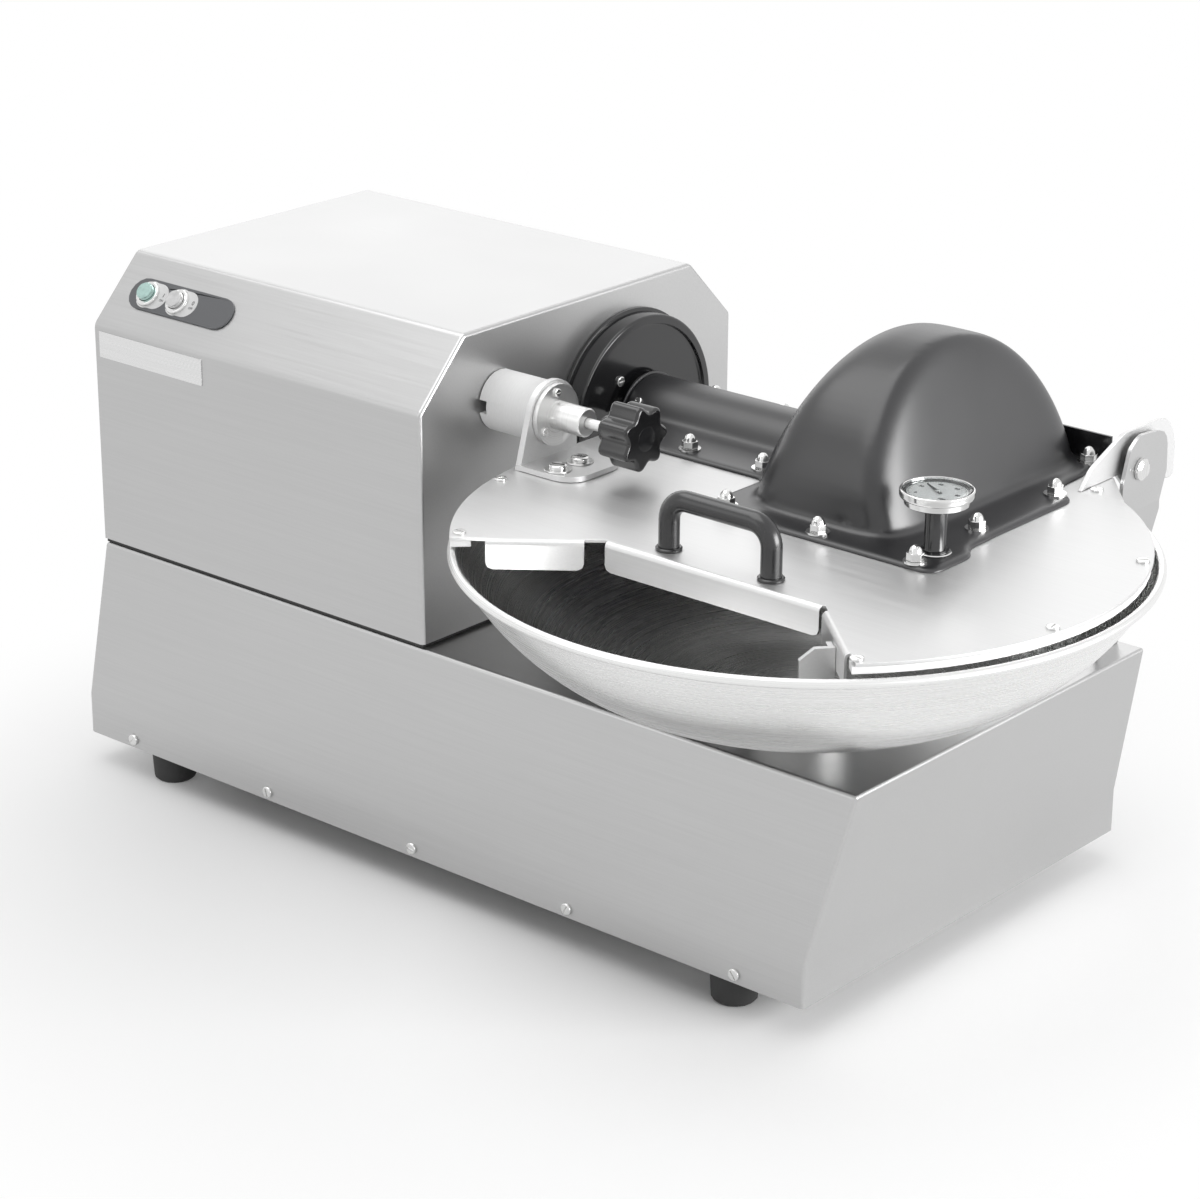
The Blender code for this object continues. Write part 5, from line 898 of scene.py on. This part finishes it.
def lettering(name, words, size, matrix, body):
    """Flat dark words, made a mesh with a little thickness."""
    curve = bpy.data.curves.new(name, 'FONT')
    curve.body = words
    curve.size = size
    curve.align_x = 'CENTER'
    curve.align_y = 'CENTER'
    curve.extrude = 0.00012
    drawn = bpy.data.objects.new(name + "_curve", curve)
    bpy.context.scene.collection.objects.link(drawn)
    bpy.context.view_layer.update()
    mesh = bpy.data.meshes.new_from_object(drawn.evaluated_get(
        bpy.context.evaluated_depsgraph_get()))
    bpy.data.objects.remove(drawn)
    mesh.transform(matrix)
    obj = bpy.data.objects.new(name, mesh)
    bpy.context.scene.collection.objects.link(obj)
    return finished(obj, body, "print", weighted=False)


class CUTTER_OT_plates(bpy.types.Operator):
    """Fix the bare plate to the housing and print the marks beside the buttons"""

    bl_idname = "cutter.plates"
    bl_label = "Plates and Marks"

    def execute(self, context):
        thickness = context.scene.cutter_sizes.plate_thickness
        length, width = 0.118, 0.0214
        label_radius, label_reach = 0.0113, 0.0095
        bm = bmesh.new()
        bmesh.ops.create_cube(bm, size=1.0)
        bmesh.ops.scale(bm, vec=(length, width, thickness), verts=bm.verts)
        upright = [edge for edge in bm.edges
                   if abs(edge.verts[0].co.z - edge.verts[1].co.z) > thickness * 0.5]
        bmesh.ops.bevel(bm, geom=upright, offset=0.0008, segments=3, profile=0.5, affect='EDGES',
                        material=-1)
        flat = [edge for edge in bm.edges
                if all(vert.co.z > thickness * 0.4 for vert in edge.verts)]
        bmesh.ops.bevel(bm, geom=flat, offset=thickness * 0.4, segments=2, profile=0.5,
                        affect='EDGES', material=-1)
        moved(bm, at(-0.299, HOUSING_FRONT - thickness / 2, 0.3563), FACING_FRONT)
        piece("bare_plate", bm, "frame", "plate")
        for index, (mark, word) in enumerate((("I", "ON"), ("0", "OFF"))):
            x = BUTTON_X[index]
            outline = [*arc((label_reach, 0), label_radius, -90, 90, 16),
                       *arc((0, 0), label_radius, 90, 270, 16)]
            label = prism(outline, 0.0, 0.0004)
            bmesh.ops.transform(label, matrix=chamfer(x, 0.0016), verts=label.verts)
            piece("button_label_%d" % index, label, "frame", "label")
            words = chamfer(x + 0.0160, 0.0020)
            lettering("mark_%d" % index, mark, 0.0050,
                      words @ Matrix.Translation((0, 0.0022, 0)), "frame")
            lettering("word_%d" % index, word, 0.0028,
                      words @ Matrix.Translation((0, -0.0024, 0)), "frame")
        return {'FINISHED'}


class CUTTER_OT_dial(bpy.types.Operator):
    """Turn the thermometer's bezel and washer, and mark its dial with a scale"""

    bl_idname = "cutter.dial"
    bl_label = "Thermometer Dial"

    def execute(self, context):
        low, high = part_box("thermometer_dial")
        centre = Vector(((low.x + high.x) / 2, (low.y + high.y) / 2, high.z))
        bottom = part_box("thermometer_case")[0].z
        case = [(0.0, 0.0), (0.0215, 0.0), (0.0226, 0.0008), (0.0233, 0.0048), (0.0250, 0.0054),
                (0.0258, 0.0062), (0.0260, 0.0075), *arc((0.0249, 0.0104), 0.0011, 0, 100, 6),
                (0.0241, 0.0113), (0.0240, 0.0108), (0.0240, 0.0060), (0.0, 0.0060)]
        piece("thermometer_bezel", moved(spun(case, 64), (centre.x, centre.y, bottom)), "lid",
              "stem", ("thermometer_case",))
        foot = max(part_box("thermometer_stem")[0].z, at(0, 0, COVER_TOP + 0.0002).z)
        washer = [(0.0101, 0.0), (0.0113, 0.0), (0.0116, 0.0005), (0.0112, 0.0011),
                  (0.0101, 0.0012)]
        piece("stem_washer", moved(spun(washer, 48, True), (centre.x, centre.y, foot)), "lid",
              "polished")
        ring = [(0.0212, 0.0001), (0.0235, 0.0001), (0.0235, 0.0004), (0.0212, 0.0004)]
        piece("dial_ring", moved(spun(ring, 64, True), centre), "lid", "gloss")
        self.scale(centre)
        hub = spun([(0, 0.0006), (0.0016, 0.0006), (0.0020, 0.0004), (0.0020, 0), (0, 0)], 24)
        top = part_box("thermometer_pointer")[1].z
        piece("pointer_hub", moved(hub, (centre.x, centre.y, top)), "gauge_needle", "polished")
        return {'FINISHED'}

    def scale(self, centre):
        """Fifty steps over three quarters of a turn, with a number at every tenth."""
        start, sweep, steps = 225, 270, 50
        ticks = []
        for step in range(steps + 1):
            angle = math.radians(start - sweep * step / steps)
            reach, longer, wider = (0.0194, 1.7, 1.4) if step % 5 == 0 else (0.0200, 1.0, 1.0)
            ticks.append(Matrix.Translation(centre + Vector((0, 0, 0.00008)))
                         @ Matrix.Rotation(angle, 4, 'Z') @ Matrix.Translation((reach, 0, 0))
                         @ Matrix.Diagonal((longer, wider, 1, 1)))
        tick = bmesh.new()
        bmesh.ops.create_cube(tick, size=1.0)
        bmesh.ops.scale(tick, vec=(0.0013, 0.00025, 0.00012), verts=tick.verts)
        piece("dial_scale", stamped(tick, ticks), "lid", "print", weighted=False)
        for step in range(6):
            angle = math.radians(start - sweep * step / 5)
            spot = centre + Vector((math.cos(angle), math.sin(angle), 0)) * 0.0152
            lettering("dial_number_%d" % step, str(step * 20), 0.0040,
                      Matrix.Translation(spot + Vector((0, 0, 0.00013))), "lid")


class CUTTER_OT_stage(bpy.types.Operator):
    """Lay the pale floor, hang the soft lamps and set the camera"""

    bl_idname = "cutter.stage"
    bl_label = "Stage"

    def lamp(self, name, energy, size, place, target):
        """Soft rectangular lamp that looks from a place at a target."""
        light = bpy.data.lights.new(name, 'AREA')
        light.energy = energy
        light.shape = 'RECTANGLE'
        light.size, light.size_y = size
        obj = bpy.data.objects.new(name, light)
        bpy.context.scene.collection.objects.link(obj)
        obj.location = place
        obj.rotation_euler = (Vector(place) - Vector(target)).to_track_quat('Z', 'Y').to_euler()

    def floor_finish(self, colour):
        """Pale floor that keeps the shadow and turns to plain white further away."""
        paint = Paint("studio_floor", colour, 0.9, 0.0)
        away = paint.distance(paint.place())
        far = paint.node("ShaderNodeMapRange", {"interpolation_type": 'SMOOTHSTEP'},
                         {"Value": away, "From Min": 0.30, "From Max": 0.70})
        white = paint.node("ShaderNodeEmission", {}, {"Strength": 1.0})
        shader = Value(paint, paint.shader.outputs[0])
        mixed = paint.node("ShaderNodeMixShader", {}, {0: paint.seen() * far, 1: shader, 2: white})
        paint.connect(paint.tree.nodes["Material Output"].inputs["Surface"], mixed)
        return paint.material

    def execute(self, context):
        scene = context.scene
        scene.view_settings.view_transform = 'Standard'
        bm = bmesh.new()
        bmesh.ops.create_grid(bm, x_segments=1, y_segments=1, size=12.0)
        floor = object_from("floor", bm)
        floor.data.materials.append(self.floor_finish(scene.cutter_colours.floor))
        world = bpy.data.worlds.new("studio")
        world.use_nodes = True
        scene.world = world
        sky = Shading(world.node_tree)
        light, white = (sky.node("ShaderNodeBackground", {},
                                 {"Color": (1.0, 1.0, 1.0, 1.0), "Strength": strength})
                        for strength in (0.36, 1.0))
        mixed = sky.node("ShaderNodeMixShader", {}, {0: sky.seen(), 1: light, 2: white})
        sky.connect(world.node_tree.nodes["World Output"].inputs["Surface"], mixed)
        self.lamp("softbox_top", 25, (2.4, 1.8), (-0.6, -0.4, 2.4), (0, 0, 0.2))
        self.lamp("softbox_back", 11, (3.2, 1.6), (-1.9, 2.3, 1.5), (0, 0, 0.3))
        self.lamp("softbox_right", 80, (2.0, 1.2), (2.6, 0.6, 0.85), (0.5, 0.1, 0.15))
        self.lamp("softbox_front", 5, (1.6, 1.4), (-1.2, -2.6, 1.5), (0, 0, 0.2))
        scene.camera = self.camera()
        return {'FINISHED'}

    def camera(self):
        """Camera at the photograph's angle, from its fitted turn, height and roll in degrees."""
        azimuth, elevation, roll = (math.radians(angle) for angle in (40.61, 21.07, 0.325))
        onward = Vector((-math.sin(azimuth) * math.cos(elevation),
                         math.cos(azimuth) * math.cos(elevation), -math.sin(elevation)))
        right = Vector((math.cos(azimuth), math.sin(azimuth), 0))
        up = right.cross(onward)
        leaning = right * math.cos(roll) + up * math.sin(roll)
        upward = up * math.cos(roll) - right * math.sin(roll)
        turn = Matrix((leaning, upward, -onward)).transposed()
        data = bpy.data.cameras.new("studio_camera")
        picture_width, focal_length = 1200.0, 3360.0  # both in pixels
        data.sensor_width = 36.0
        data.lens = data.sensor_width * focal_length / picture_width
        camera = bpy.data.objects.new("studio_camera", data)
        bpy.context.scene.collection.objects.link(camera)
        camera.matrix_world = Matrix.Translation(at(1.6105, -1.8626, 1.1274)) @ turn.to_4x4()
        return camera


PIECE_OPERATORS = (CUTTER_OT_finishes, CUTTER_OT_finish_frame, CUTTER_OT_bowl,
                   CUTTER_OT_knife_cover, CUTTER_OT_shaft_disc, CUTTER_OT_handle,
                   CUTTER_OT_star_knob, CUTTER_OT_fasteners, CUTTER_OT_plates, CUTTER_OT_dial,
                   CUTTER_OT_stage)


class CUTTER_PT_pieces(bpy.types.Panel):
    """Buttons for each piece, and the sizes and colours they use"""

    bl_idname = "CUTTER_PT_pieces"
    bl_label = "Bowl Cutter"
    bl_space_type = 'VIEW_3D'
    bl_region_type = 'UI'
    bl_category = "Bowl Cutter"

    def draw(self, context):
        layout = self.layout
        for operator in PIECE_OPERATORS:
            layout.operator(operator.bl_idname)
        for group in (context.scene.cutter_sizes, context.scene.cutter_colours):
            box = layout.box()
            for name in group.__annotations__:
                box.prop(group, name)


CLASSES = (CutterSizes, CutterColours, *PIECE_OPERATORS, CUTTER_PT_pieces)


def register():
    for cls in CLASSES:
        bpy.utils.register_class(cls)
    bpy.types.Scene.cutter_sizes = PointerProperty(type=CutterSizes)
    bpy.types.Scene.cutter_colours = PointerProperty(type=CutterColours)


def unregister():
    del bpy.types.Scene.cutter_colours
    del bpy.types.Scene.cutter_sizes
    for cls in reversed(CLASSES):
        bpy.utils.unregister_class(cls)


def main():
    """Make every piece in order."""
    register()
    bpy.ops.cutter.finishes()
    bpy.ops.cutter.finish_frame()
    bpy.ops.cutter.bowl()
    bpy.ops.cutter.knife_cover()
    bpy.ops.cutter.shaft_disc()
    bpy.ops.cutter.handle()
    bpy.ops.cutter.star_knob()
    bpy.ops.cutter.fasteners()
    bpy.ops.cutter.plates()
    bpy.ops.cutter.dial()
    bpy.ops.cutter.stage()


if __name__ == "__main__":
    main()
